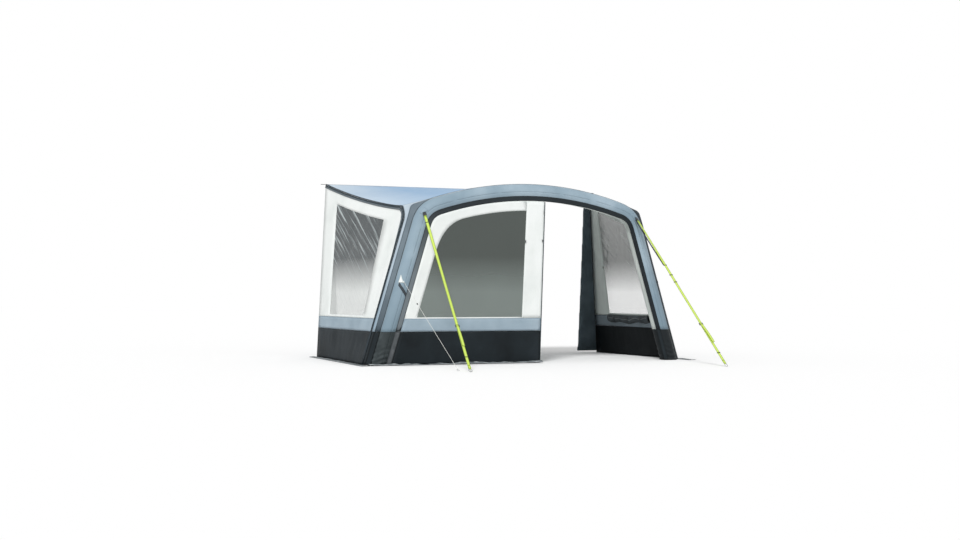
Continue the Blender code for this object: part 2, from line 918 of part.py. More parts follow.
def build_seal_pad(name, side):
    """The foam pad behind the wall's rear edge, just inside it."""
    columns = wall_columns(side)[-2:]
    pad_front = depth - pad_thickness
    top = rail_height - pad_top_drop
    corners = []
    for height in (pad_bottom, top):
        before, after = on_column(columns[0], height), on_column(columns[1], height)
        share = (beam_y + pad_front - before.y) / (after.y - before.y)
        corners.append((lerp(before.x, after.x, share) - side * (cloth / 2 + 2 * gap), height))
    (bottom_x, _), (top_x, _) = corners
    corners += [(top_x - side * pad_top_width, top), (bottom_x - side * pad_bottom_width, pad_bottom)]
    pad = plate(f"seal_pad_{name}", corners, pad_thickness, pad_cloth)
    pad.matrix_world = frame_at(place(0, depth - pad_thickness / 2, 0), -backwards, across)


# Front panel


def polyline_at(line, x):
    for a, b in zip(line, line[1:]):
        if min(a.x, b.x) <= x <= max(a.x, b.x):
            return a.lerp(b, (x - a.x) / (b.x - a.x))
    raise ValueError("the line doesn't reach that far across")


def mullion_edges():
    """The ground and top points of the upright strip's left and right edges."""
    line = along_beam(trim_edge, trim_floor_gap)
    left = polyline_at(line, mullion_left_top), place(mullion_left_ground, -panel_forward, 0)
    right = polyline_at(line, mullion_right_top), place(mullion_right_ground, -panel_forward, 0)
    return left, right


def on_edge(edge, height):
    top, ground = edge
    return ground.lerp(top, height / top.z)


def meet(line, edge):
    """Where a line over the window meets the upright strip's edge, and how many points come before."""
    gaps = [point.x - on_edge(edge, point.z).x for point in line]
    for i in range(len(line) - 1):
        if gaps[i] < 0 <= gaps[i + 1]:
            return i + 1, line[i].lerp(line[i + 1], gaps[i] / (gaps[i] - gaps[i + 1]))
    raise ValueError("the window's top doesn't reach the upright strip")


def build_front_panel():
    left, right = mullion_edges()
    sill = band_top + front_sill
    half = [*half_beam, *reversed(half_beam[:-1])]
    outer = [trim_edge(station, -1 if i < len(half_beam) else 1) for i, station in enumerate(half)]
    inner = window_corner() + [window_edge(station, -1) for station in crown[1:]]
    inner += [window_edge(station, 1) for station in reversed(half_beam[:-1])]
    outer_count, outer_end = meet(outer, left)
    inner_count, inner_end = meet(inner, left)
    count = min(outer_count, inner_count)
    outer_row = [on_edge(left, band_top), trim_edge(leg_station(band_top), -1)]
    outer_row += [*outer[:count], outer_end]
    inner_row = [on_edge(left, sill), window_edge(leg_station(sill), -1), *inner[:count], inner_end]
    rows = inset([outer_row, inner_row], flat_seam, flat_seam, flat_seam, flat_seam)
    sheet("front_surround", rows, cloth, white_cloth)

    outline = [(point.x, point.z) for point in inner_row]
    window = plate("front_window", shrunk(outline, gap), film, clear_film)
    window.matrix_world = frame_at(place(0, -panel_forward, 0), -backwards, across)

    apex = trim_edge(crown[-1], -1)
    high = [left[0], apex, right[0]]
    low = [on_edge(left, band_top), on_edge(left, band_top), on_edge(right, band_top)]
    low[1] = low[0].lerp(low[2], (apex.x - high[0].x) / (high[2].x - high[0].x))
    rows = inset([low, high], flat_seam, flat_seam, flat_seam, flat_seam)
    sheet("front_mullion", rows, cloth, white_cloth)

    for name, low_z, high_z, material in (
        ("front_band", skirt_height, band_top, band_cloth),
        ("front_skirt", flap_top, skirt_height, skirt_cloth),
    ):
        rows = [
            [trim_edge(leg_station(z), -1), on_edge(right, z)] for z in (low_z, high_z)
        ]
        rows = inset(rows, flat_seam, flat_seam, flat_seam, flat_seam)
        sheet(name, rows, cloth, material)
    build_front_flap(right)
    build_zip(right)


def build_front_flap(right):
    """The mud flap in front of the panel and the left foot, which is rumpled more than the others."""
    toe = trim_edge(leg_station(0), -1).x
    start = wall_front(leg_station(0), -1).x - piping_radius
    end = right[1].x
    rows = [[] for _ in flap_width_shares]
    for step in range(flap_steps + 1):
        share = step / flap_steps
        x = lerp(start, end, share)
        inner = flap_under - panel_forward if x > toe else -sleeve_radius - gap
        for row, wide, high in zip(rows, flap_width_shares, flap_height_shares):
            back = lerp(inner, cloth - front_flap_reach, wide)
            z = cloth / 2 + front_flap_rise * high * flap_wave(share, wide / flap_folds)
            row.append(place(x, back, z))
    sheet("front_mud_flap", rows, cloth, skirt_cloth)


def build_zip(right):
    """The zip that the missing right panel closes on: its tape, slider and pull."""
    top, ground = right
    line = along_beam(trim_edge, trim_floor_gap)
    top_z = polyline_at(line, top.x + zip_width).z - zip_top_gap
    rows = [[on_edge(right, z), on_edge(right, z) + across * zip_width] for z in (flap_top, top_z)]
    sheet("zip_tape", inset(rows, first=gap, left=gap), zip_thickness, black_plastic)
    upwards_on_zip = (top - ground).normalized()
    middle = on_edge(right, slider_start) + across * (zip_width / 2)
    ahead = zip_thickness / 2 + gap + slider_depth / 2
    mount = empty_at("zip_frame", frame_at(middle - backwards * ahead, upwards_on_zip, across))
    block("zip_slider", (slider_width, slider_depth, slider_height), black_plastic, mount)
    pull = block("zip_pull", (pull_width, pull_thickness, pull_length), black_plastic, mount)
    pull.data.transform(Matrix.Translation((0, 0, -pull_length / 2)))
    pull.location = (0, -(slider_depth / 2 + gap + pull_thickness / 2), 0)


# Roof poles


def pole_ends(x):
    """Where a roof pole starts behind the sleeve and where it ends below the rail."""
    turn = math.asin(x / crown_radius)
    z = crown_centre + crown_radius * math.cos(turn)
    end = place(x, depth - pole_wall_gap, rail_height - pole_drop)
    tall = sleeve_radius / math.cos(turn)
    slope = (end.z - z) / (depth - pole_wall_gap - sleeve_radius)
    start = place(x, math.hypot(sleeve_radius, tall * slope) + gap, z)
    return start, end


def build_pole(name, x):
    start, end = pole_ends(x)
    length = (end - start).length
    frame = empty_at(f"roof_pole_{name}", frame_at(start, end - start, across))
    profile = [
        (0, saddle_thickness),
        (outer_tube_bore, saddle_thickness),
        (outer_tube_bore, outer_tube_length),
        (collar_radius, outer_tube_length),
        (collar_radius, outer_tube_length - collar_length),
        (outer_tube_radius, outer_tube_length - collar_length),
        (outer_tube_radius, saddle_thickness),
        (saddle_radius, saddle_thickness),
        (saddle_radius, 0),
        (0, 0),
    ]
    outer = turned(f"pole_{name}_outer_tube", profile, tube_metal, frame)
    pivot_y = collar_radius + lever_drop
    pivot_z = outer_tube_length - ear_size / 2
    ear_x = lever_width / 2 + gap + ear_thickness / 2
    ear_top = collar_radius - ear_sink
    ear_bottom = pivot_y + ear_size / 2
    for hand in (-1, 1):
        ear = block(
            f"pole_{name}_ear_{hand}", (ear_thickness, ear_bottom - ear_top, ear_size), parent=frame
        )
        ear.location = (hand * ear_x, (ear_top + ear_bottom) / 2, pivot_z)
        boolean(outer, ear, "UNION")
    profile = [
        (0, length),
        (saddle_radius, length),
        (saddle_radius, length - saddle_thickness),
        (inner_tube_radius, length - saddle_thickness),
        (inner_tube_radius, outer_tube_length - tube_overlap),
        (inner_tube_bore, outer_tube_length - tube_overlap),
        (inner_tube_bore, length - saddle_thickness),
        (0, length - saddle_thickness),
    ]
    turned(f"pole_{name}_inner_tube", profile, tube_metal, frame)
    outline = []
    for step in range(round_sides // 2 + 1):
        turn = -math.pi / 2 + math.pi * step / (round_sides // 2)
        outline.append((lever_boss_radius * math.cos(turn), lever_boss_radius * math.sin(turn)))
    outline += [(-lever_length, lever_boss_radius), (-lever_length, lever_boss_radius - lever_thickness)]
    lever = plate(f"pole_{name}_lever", outline, lever_width, black_plastic, frame)
    lever.matrix_local = frame_at(Vector((0, pivot_y, pivot_z)), across, upwards)


# Storm straps and guy line


def bar(name, start, end, width, thickness, width_axis, material):
    """A flat bar between two points, its width as near one direction as it can be."""
    made = block(name, (width, thickness, (end - start).length), material)
    made.matrix_world = frame_at((start + end) / 2, end - start, width_axis)
    return made


def ring(name, centre, direction, radius, wire, material):
    """A ring that lies in the plane of a direction and of level ground across it."""
    bpy.ops.mesh.primitive_torus_add(
        major_segments=ring_steps,
        minor_segments=wire_steps,
        major_radius=radius,
        minor_radius=wire,
    )
    made = bpy.context.object
    made.name = name
    made.data.name = name
    for home in list(made.users_collection):
        home.objects.unlink(made)
    link(made, material)
    level = direction.cross(upwards)
    made.matrix_world = frame_at(centre, direction.cross(level), direction)
    made.data.shade_smooth()
    return made


def ring_centre(start, peg, radius, wire):
    """The centre of a ring that touches the ground at its peg, pulled towards a start point."""
    centre = place(peg[0], peg[1], wire)
    for _ in range(ring_settling_rounds):
        pull = (start - centre).normalized()
        centre.z = radius * pull.z + wire
    return centre


def build_strap(name, side, peg):
    """A storm strap, from its clip at the sleeve's shoulder to its ring on the ground."""
    station = bend[bend_steps // 2]
    a = sleeve_corner(station, side, clip_side)
    b = sleeve_corner(station, side, clip_side + 1)
    root = (a + b) / 2
    outwards = (root - station.at(0, 0, side)).normalized()
    centre = ring_centre(root, peg, ring_radius, ring_wire)
    direction = (centre - root).normalized()
    wide = direction.cross(outwards).normalized()
    thin = direction.cross(wide)
    lead = clip_thickness / 2 * abs(thin.dot(outwards)) + 2 * gap
    clip_start = root + direction * (lead / direction.dot(outwards))
    clip_end = clip_start + direction * clip_length
    bar(f"strap_clip_{name}", clip_start, clip_end, clip_width, clip_thickness, wide, black_plastic)
    start = clip_end + direction * gap
    end = centre - direction * (ring_radius + ring_wire + gap)
    level = frame_at(end, direction, across).to_3x3().col[0]
    if wide.dot(level) < 0:
        wide.negate()
    twist = wide.angle(level) * (1 if wide.cross(level).dot(direction) > 0 else -1)
    rings = []
    for step in range(strap_twist_steps + 2):
        share = min(step / strap_twist_steps, 1)
        turn = Matrix.Rotation(twist * eased(share), 3, direction)
        across_strap = turn @ wide * (strap_width / 2)
        through_strap = turn @ wide.cross(direction) * (strap_thickness / 2)
        middle = start.lerp(end, 1 if step > strap_twist_steps else strap_twist_end * share)
        corners = ((-1, -1), (1, -1), (1, 1), (-1, 1))
        rings.append([middle + across_strap * i + through_strap * j for i, j in corners])
    lofted(f"storm_strap_{name}", rings, lime_webbing)
    ring(f"peg_ring_{name}", centre, direction, ring_radius, ring_wire, tube_metal)
    size = (buckle_width, buckle_thickness, buckle_length)
    buckle = block(f"strap_buckle_{name}", size, black_plastic)
    slot_size = (strap_width + 2 * gap, strap_thickness + 2 * gap, buckle_length + cut_overrun)
    slot = block(f"buckle_slot_{name}", slot_size)
    for piece in (buckle, slot):
        piece.matrix_world = frame_at(start.lerp(end, buckle_share), direction, across)
    boolean(buckle, slot, "DIFFERENCE")


def build_guy():
    station = leg_station(guy_level)
    corner = sleeve_corner(station, -1, guy_corner)
    centre = ring_centre(corner, guy_peg, guy_ring_radius, guy_ring_wire)
    direction = (centre - corner).normalized()
    along = Vector((-leg_up[0], 0, leg_up[1]))
    outwards = (corner - station.at(0, 0, -1)).normalized()
    root = corner + outwards * (cloth / 2 + gap)
    tab_end = root + direction * guy_tab_length
    level = (along - direction * along.dot(direction)).normalized()
    half = guy_tab_width / 2
    rows = [[root - along * half, root + along * half], [tab_end - level * half, tab_end + level * half]]
    sheet("guy_tab", rows, cloth, white_cloth)
    rope_start = tab_end + direction * gap
    rope_end = centre - direction * (guy_ring_radius + guy_ring_wire + gap)
    points = [rope_start.lerp(rope_end, i / (guy_points - 1)) for i in range(guy_points)]
    tube_curve("guy_rope", points, guy_radius, white_rope)
    ring("guy_ring", centre, direction, guy_ring_radius, guy_ring_wire, tube_metal)
    size = (guy_slider_width, guy_slider_thickness, guy_slider_length)
    slider = block("guy_slider", size, black_plastic)
    hole = cylinder("guy_slider_hole", guy_slider_bore, guy_slider_length + cut_overrun)
    for piece in (slider, hole):
        piece.matrix_world = frame_at(rope_start.lerp(rope_end, guy_slider_share), direction, across)
    boolean(slider, hole, "DIFFERENCE")


sleeve_object = build_sleeve()
build_boots()
build_valve(sleeve_object, build_air_beam())
build_trims()
build_gussets()
build_roof()
build_rail_bead()
for hand, sign in (("left", -1), ("right", 1)):
    build_wall(hand, sign)
build_front_panel()
for hand, distance in (("left", -pole_spacing), ("centre", 0), ("right", pole_spacing)):
    build_pole(hand, distance)
build_strap("left", -1, left_strap_peg)
build_strap("right", 1, right_strap_peg)
build_guy()
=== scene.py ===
import math

import bmesh
import bpy
from mathutils import Matrix, Vector, noise


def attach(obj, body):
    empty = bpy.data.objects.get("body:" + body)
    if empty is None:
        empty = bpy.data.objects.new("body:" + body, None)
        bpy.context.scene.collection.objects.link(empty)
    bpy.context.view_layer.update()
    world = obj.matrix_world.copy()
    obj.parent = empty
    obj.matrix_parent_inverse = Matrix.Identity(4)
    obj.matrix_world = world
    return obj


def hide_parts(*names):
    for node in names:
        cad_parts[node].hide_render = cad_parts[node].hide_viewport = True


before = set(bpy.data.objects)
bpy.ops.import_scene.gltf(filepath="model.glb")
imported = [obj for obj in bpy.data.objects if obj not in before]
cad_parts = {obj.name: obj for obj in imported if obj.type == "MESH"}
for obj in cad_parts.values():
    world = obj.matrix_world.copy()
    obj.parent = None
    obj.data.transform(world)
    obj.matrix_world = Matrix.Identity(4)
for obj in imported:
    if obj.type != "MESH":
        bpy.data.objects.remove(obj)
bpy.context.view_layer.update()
bpy.context.scene.view_settings.view_transform = "Standard"

# Lengths are in metres. The rail side is towards +Y and the ground is at z 0.
awning = {
    "beamY": -1.09, "depth": 2.40, "railHeight": 2.40, "railHalf": 2.05,
    "footHalf": 2.03, "rearFootHalf": 2.17,
    "cornerHalf": 1.455, "shoulderHeight": 1.917, "crownHeight": 2.18, "shoulderSetback": 0.17,
    "sleeveRadius": 0.105, "innerSeamTurn": math.radians(28.125), "outerSeamTurn": math.radians(84.375),
    "trimOut": 0.1145, "panelForward": 0.099, "surroundLeg": 0.155, "surroundCrown": 0.125,
    "windowBendDrop": 0.528, "windowBendReach": 0.30, "flangeTight": 0.78, "flangeStraight": 0.3,
    "flangeWidth": 0.077, "flangeTurnLeg": math.radians(38), "flangeTurnCrown": math.radians(86),
    "wallOut": 0.175, "wallBack": 0.13, "cornerBack": 0.224, "cornerRise": 0.179, "cornerIn": 0.016,
    "roofSag": 0.042, "railBack": 2.3807, "skirtHeight": 0.41, "bandTop": 0.57, "edge": 0.0053,
}
cloth = {"thickness": 0.002, "film": 0.001, "seam": 0.0002, "floorGap": 0.003, "aboveGround": 0.0028}
hands = (("left", -1), ("right", 1))
across, upwards = Vector((1, 0, 0)), Vector((0, 0, 1))

# Camera at the photograph's angle
camera = {"place": (-7.0936, -16.8818, 0.8707), "yaw": 0.3849, "pitch": 0.0181, "roll": -0.0014,
          "lens": 50.485}


def addObject(name, data):
    made = bpy.data.objects.new(name, data)
    bpy.context.scene.collection.objects.link(made)
    return made


def makeCamera():
    data = bpy.data.cameras.new("camera")
    data.lens = camera["lens"]
    data.sensor_width = 36
    data.clip_end = 200
    made = addObject("camera", data)
    yaw, pitch = camera["yaw"], camera["pitch"]
    ahead = Vector((math.sin(yaw) * math.cos(pitch), math.cos(yaw) * math.cos(pitch), math.sin(pitch)))
    right = Vector((math.cos(yaw), -math.sin(yaw), 0))
    turn = Matrix.Rotation(camera["roll"], 3, ahead)
    axes = Matrix((turn @ right, turn @ right.cross(ahead), -ahead))
    made.matrix_world = Matrix.Translation(camera["place"]) @ axes.transposed().to_4x4()
    bpy.context.scene.camera = made


makeCamera()
print("camera set")


# Materials


def linear(code):
    shares = [int(code[start:start + 2], 16) / 255 for start in (1, 3, 5)]
    return (*[share / 12.92 if share <= 0.04045 else ((share + 0.055) / 1.055) ** 2.4 for share in shares], 1)


def setInputs(node, inputs):
    for key, value in inputs.items():
        if isinstance(value, bpy.types.NodeSocket):
            node.id_data.links.new(value, node.inputs[key])
        else:
            node.inputs[key].default_value = value


# Adds a node with its settings and links, and gives one of its outputs
def addNode(owner, kind, inputs=None, out=0, **settings):
    node = owner.node_tree.nodes.new("ShaderNode" + kind)
    for key, value in settings.items():
        setattr(node, key, value)
    setInputs(node, inputs or {})
    return node.outputs[out] if node.outputs else node


def newMaterial(name, roughness, metallic=0.0):
    made = bpy.data.materials.new(name)
    made.use_nodes = True
    shader = made.node_tree.nodes["Principled BSDF"]
    setInputs(shader, {"Roughness": roughness, "Metallic": metallic})
    return made, shader


def setRamp(ramp, stops):
    elements = ramp.node.color_ramp.elements
    while len(elements) < len(stops):
        elements.new(1)
    for element, (position, code) in zip(elements, stops):
        element.position = position
        element.color = linear(code)


# A wave's scale for a pattern that repeats after so many millimetres
def waveScale(mm):
    return math.tau / 20 / (mm / 1000)


# Plain-woven polyester with a coated face: a fine regular grain, soft creases and faded patches.
# Its turned-in edge is double cloth with a stitched row, painted in hemColour: mostly a little darker, and lighter
# where that colour is a painted highlight.
# low and right hold a colour and the two heights, or places across, that it changes between.
def wovenCloth(name, base, faded, shaded, hemColour, roughness=0.6, creases=0.35, hemMm=13.0, patchSize=0.45,
               low=None, gloss=0.25, right=None):
    made, shader = newMaterial(name, roughness)
    place = addNode(made, "TexCoord", out="Object")
    uv = addNode(made, "UVMap", uv_map="UVMap")
    hem = addNode(made, "Attribute", out="Fac", attribute_name="hem")
    patches = addNode(made, "TexNoise", {"Vector": place, "Scale": 1 / patchSize, "Detail": 3.0,
                                         "Roughness": 0.55})
    colour = addNode(made, "ValToRGB", {"Fac": patches})
    setRamp(colour, [(0.28, shaded), (0.50, base), (0.72, faded)])
    spread = addNode(made, "SeparateXYZ", {"Vector": place}).node.outputs
    # low changes the colour towards the ground and right changes it across. These are partly painted light and
    # shade:
    # the right leg's trims and boot are painted darker as shade, the roof lighter at its low front fold and left
    # edge as lit, the left inner trim lighter low down as lit, and the mud flaps darker in their low hollows as
    # shade.
    # On the sleeve, gussets and outer trim it is just darker towards the ground
    for change, axis, start, end in ((low, "Z", 1.0, 0.0), (right, "X", 0.0, 1.0)):
        if change:
            share = addNode(made, "MapRange", {"Value": spread[axis], "From Min": change[1],
                                               "From Max": change[2], "To Min": start, "To Max": end})
            colour = addNode(made, "Mix", {0: share, 6: colour, 7: linear(change[0])}, 2, data_type="RGBA")
    # the real thread is 0.4 mm, and is drawn at 5 mm so that it shows
    warp, weft = [addNode(made, "TexWave", {"Vector": uv, "Scale": waveScale(5), "Distortion": 0.5,
                                            "Detail": 1.0}, "Fac", bands_direction=axis) for axis in "XY"]
    weave = addNode(made, "Math", {0: warp, 1: weft}, operation="MULTIPLY")
    grain = addNode(made, "Mix", {0: 0.08, 6: colour, 7: weave}, 2, data_type="RGBA", blend_type="MULTIPLY")
    fold = addNode(made, "MapRange", {"Value": hem, "From Min": (hemMm - 3) / 1000,
                                      "From Max": hemMm / 1000, "To Min": 0.8, "To Max": 0.0})
    hemmed = addNode(made, "Mix", {0: fold, 6: grain, 7: linear(hemColour)}, 2, data_type="RGBA")
    # creases left by packing, 50 to 300 mm long
    stretch = addNode(made, "Mapping", {"Vector": place, "Rotation": (0.3, 0.5, 0.2),
                                        "Scale": (1.0, 1.0, 0.4)})
    crease = addNode(made, "TexNoise", {"Vector": stretch, "Scale": 7.0, "Detail": 4.0, "Roughness": 0.5})
    row = addNode(made, "Math", {0: hem, 1: 0.005}, operation="PINGPONG")
    stitches = addNode(made, "Math", {0: row, 1: fold}, operation="MULTIPLY")
    soft = addNode(made, "Bump", {"Strength": creases, "Distance": 0.02, "Height": crease})
    ridge = addNode(made, "Bump", {"Strength": 0.5, "Distance": 0.3, "Height": stitches, "Normal": soft})
    fine = addNode(made, "Bump", {"Strength": 0.3, "Distance": 0.0006, "Height": weave, "Normal": ridge})
    rubbed = addNode(made, "MapRange", {"Value": crease, "To Min": roughness - 0.08,
                                        "To Max": roughness + 0.12})
    setInputs(shader, {"Base Color": hemmed, "Normal": fine, "Roughness": rubbed, "Specular IOR Level": gloss})
    return made


# Calendered soft film. Its dark tint is painted shade, for the shaded space seen through it; its folds fan out in
# pale streaks, which are painted reflections, and it is paler low down, which is painted light
def clearFilm(name, shadeTint, paintedReflection, alpha, lowAlpha, pale, slant=0.0, streaks=0.25, foldFrom=0.52, foldMm=70):
    made, shader = newMaterial(name, 0.15)
    uv = addNode(made, "UVMap", uv_map="UVMap")
    place = addNode(made, "TexCoord", out="Object")
    height = addNode(made, "SeparateXYZ", {"Vector": place}, "Z")
    turned = addNode(made, "Mapping", {"Vector": uv, "Rotation": (0, 0, math.radians(slant)),
                                       "Scale": (foldMm / 1000, 1.1, 1.0)}, vector_type="TEXTURE")
    folds = addNode(made, "TexNoise", {"Vector": turned, "Scale": 1.0, "Detail": 2.5, "Roughness": 0.5,
                                       "Distortion": 0.3})
    hung = addNode(made, "MapRange", {"Value": height, "From Min": 1.0, "From Max": 1.5})
    shown = addNode(made, "MapRange", {"Value": folds, "From Min": foldFrom, "From Max": foldFrom + 0.14})
    reflectionMask = addNode(made, "Math", {0: shown, 1: hung}, operation="MULTIPLY")
    clouds = addNode(made, "TexNoise", {"Vector": place, "Scale": 2.2, "Detail": 2.0})
    low = addNode(made, "MapRange", {"Value": height, "From Min": 0.9, "From Max": 1.35, "To Min": 1.0,
                                     "To Max": 0.0})
    paintedShadeAndLight = addNode(made, "Mix", {0: low, 6: linear(shadeTint), 7: linear(pale)}, 2, data_type="RGBA")
    misted = addNode(made, "Mix", {0: 0.15, 6: paintedShadeAndLight, 7: clouds}, 2, data_type="RGBA", blend_type="MULTIPLY")
    tone = addNode(made, "Mix", {0: reflectionMask, 6: misted, 7: linear(paintedReflection)}, 2, data_type="RGBA")
    hazed = addNode(made, "MapRange", {"Value": low, "To Min": alpha, "To Max": lowAlpha})
    veiled = addNode(made, "Math", {0: reflectionMask, 1: streaks, 2: hazed}, operation="MULTIPLY_ADD", use_clamp=True)
    bump = addNode(made, "Bump", {"Strength": 0.4, "Distance": 0.02, "Height": folds})
    setInputs(shader, {"Base Color": tone, "Alpha": veiled, "Normal": bump, "IOR": 1.53})
    return made


# Polypropylene webbing, woven in cross ribs: matt, with a fine ladder of ribs, dusty patches, and edges painted
# darker as shade
def webbing(name, base, worn, edge, ribMm=6.0):
    made, shader = newMaterial(name, 0.7)
    uv = addNode(made, "UVMap", uv_map="UVMap")
    place = addNode(made, "TexCoord", out="Object")
    ribs = addNode(made, "TexWave", {"Vector": uv, "Scale": waveScale(ribMm), "Distortion": 0.6},
                   bands_direction="Y").node.outputs
    dust = addNode(made, "TexNoise", {"Vector": place, "Scale": 14.0, "Detail": 3.0})
    tone = addNode(made, "Mix", {0: dust, 6: linear(base), 7: linear(worn)}, 2, data_type="RGBA")
    hem = addNode(made, "Attribute", out="Fac", attribute_name="hem")
    # the edges are painted darker, as shade along the band's sides
    edgeShadeMask = addNode(made, "MapRange", {"Value": hem, "From Min": 0.003, "From Max": 0.008,
                                          "To Min": 1.0, "To Max": 0.0})
    edged = addNode(made, "Mix", {0: edgeShadeMask, 6: tone, 7: linear(edge)}, 2, data_type="RGBA")
    ribbed = addNode(made, "Mix", {0: 0.14, 6: edged, 7: ribs["Color"]}, 2, data_type="RGBA",
                     blend_type="MULTIPLY")
    bump = addNode(made, "Bump", {"Strength": 0.6, "Distance": 0.001, "Height": ribs["Fac"]})
    setInputs(shader, {"Base Color": ribbed, "Normal": bump})
    return made


# Nylon 6 or polypropylene, injection moulded with a spark-etched face: dark, satin, finely pitted.
# The grit is 1.2 mm, coarser than the real one, so that it shows.
def mouldedPlastic(name, base, rubbed, roughness=0.42, gritMm=1.2):
    made, shader = newMaterial(name, roughness)
    place = addNode(made, "TexCoord", out="Object")
    grit = addNode(made, "TexNoise", {"Vector": place, "Scale": 1000 / gritMm / 2, "Detail": 2.0})
    scuffs = addNode(made, "TexNoise", {"Vector": place, "Scale": 30.0, "Detail": 4.0})
    tone = addNode(made, "ValToRGB", {"Fac": scuffs})
    setRamp(tone, [(0.45, base), (0.75, rubbed)])
    satin = addNode(made, "MapRange", {"Value": scuffs, "To Min": roughness - 0.1, "To Max": roughness + 0.15})
    bump = addNode(made, "Bump", {"Strength": 0.25, "Distance": 0.0005, "Height": grit})
    setInputs(shader, {"Base Color": tone, "Roughness": satin, "Normal": bump, "IOR": 1.5})
    return made


# Drawn metal tube or wire, brushed along its length or plated: soft long highlights and small scratches
def drawnMetal(name, base, dull, roughness=0.32):
    made, shader = newMaterial(name, roughness, metallic=1.0)
    place = addNode(made, "TexCoord", out="Object")
    along = addNode(made, "Mapping", {"Vector": place, "Scale": (260.0, 12.0, 260.0)})
    brush = addNode(made, "TexNoise", {"Vector": along, "Scale": 1.0, "Detail": 3.0})
    tone = addNode(made, "Mix", {0: brush, 6: linear(base), 7: linear(dull)}, 2, data_type="RGBA")
    satin = addNode(made, "MapRange", {"Value": brush, "To Min": roughness - 0.06, "To Max": roughness + 0.14})
    bump = addNode(made, "Bump", {"Strength": 0.15, "Distance": 0.0003, "Height": brush})
    setInputs(shader, {"Base Color": tone, "Roughness": satin, "Normal": bump})
    return made


# Braided polyester rope: pale, matt, with a small diagonal braid
def braidedRope(name, base, shaded, braidMm=5.0):
    made, shader = newMaterial(name, 0.75)
    uv = addNode(made, "UVMap", uv_map="UVMap")
    braid = addNode(made, "TexWave", {"Vector": uv, "Scale": waveScale(braidMm), "Distortion": 0.3}, "Fac",
                    bands_direction="DIAGONAL")
    tone = addNode(made, "Mix", {0: braid, 6: linear(shaded), 7: linear(base)}, 2, data_type="RGBA")
    bump = addNode(made, "Bump", {"Strength": 0.6, "Distance": 0.0008, "Height": braid})
    setInputs(shader, {"Base Color": tone, "Normal": bump})
    return made


# the sleeve's seams are painted lighter, a painted highlight along the welts; it is also darker towards the ground
sleeveWoven = wovenCloth("sleeve polyester, coated", "#90A4B1", "#A3B5C1", "#8095A3", "#A9B9C4", 0.55,
                         hemMm=6, low=("#768B98", 0.3, 1.4), patchSize=0.5)
# painted light: the roof is painted lighter at its low front fold (low) and along its left edge (right), and a
# darker blue across the rest
roofWoven = wovenCloth("roof polyester, coated", "#C2D0DC", "#CCD8E2", "#B6C6D4", "#8C9FAE", 0.55,
                       patchSize=0.8, low=("#CAD7E1", 2.02, 2.20), gloss=0.15, right=("#8FAECC", -2.0, -1.15))
gussetWoven = wovenCloth("gusset polyester, coated", "#BCCAD5", "#C8D4DD", "#AEBCC8", "#9BADBA", 0.55,
                         low=("#8EA4B3", 0.4, 1.7))
whiteWoven = wovenCloth("white polyester, coated", "#E9EDEB", "#EEF1F0", "#DFE4E2", "#D6DCDA", hemMm=10)
# the linings are darker than the outer faces: painted shade, for the inside of the awning
shadedLiningWoven = wovenCloth("lining polyester, grey, painted shade", "#CFD7D3", "#D8DFDB", "#C0C8C4", "#98A19D", 0.7)
shadedRoofLining = wovenCloth("roof lining, pale grey, painted shade", "#B4BDC0", "#C0C8CA", "#A6AFB3", "#98A1A5", 0.7)
bandWoven = wovenCloth("band polyester, coated", "#97A9B5", "#A4B5C0", "#889BA8", "#7D8F9C", 0.55,
                       patchSize=0.5)
shadedBandLining = wovenCloth("band lining, dark grey, painted shade", "#76828A", "#808C94", "#69747B", "#4E5962", 0.7)
skirtWoven = wovenCloth("skirt laminate, coated", "#20272B", "#2C3338", "#181D20", "#14191B", 0.62,
                        patchSize=0.6, gloss=0.12)
shadedSkirtLining = wovenCloth("skirt lining, black, painted shade", "#0E1316", "#15191C", "#0B0E10", "#090C0E", 0.7,
                         patchSize=0.6, gloss=0.1)
# the boot is dusty in patches, and painted darker on the right leg as shade
bootWoven = wovenCloth("boot laminate, dusty, painted shade on the right", "#363D3F", "#495153", "#2A3133", "#4A555A", hemMm=4,
                       patchSize=0.16, gloss=0.2, right=("#1B2124", -0.6, 1.3))
# a lighter copy of the skirt laminate for the left leg's inner trim foot: dusty in patches, and painted lighter as
# lit
litFootWoven = wovenCloth("foot laminate, dusty, painted light", "#54585B", "#66696C", "#45494C", "#373B3E", patchSize=0.12,
                       gloss=0.2)
# the mud flaps are painted darker in their low hollows as shade, and their pale hem is partly a stitched edge and
# partly a painted highlight on the crest along the wall
flapWoven = wovenCloth("mud flap laminate, dusty", "#777D80", "#B4B8BA", "#4A5155", "#9A9FA2",
                       patchSize=0.07, hemMm=9, low=("#23292D", 0.001, 0.009), gloss=0.2)
# the inner trim is painted lighter low down on the left leg as lit, and darker on the right leg as shade
trimWoven = wovenCloth("trim polyester, dark", "#262D31", "#2E363A", "#1E2528", "#171D20", hemMm=9,
                       low=("#6C757A", 1.1, 1.95), right=("#161E23", -0.6, 1.3))
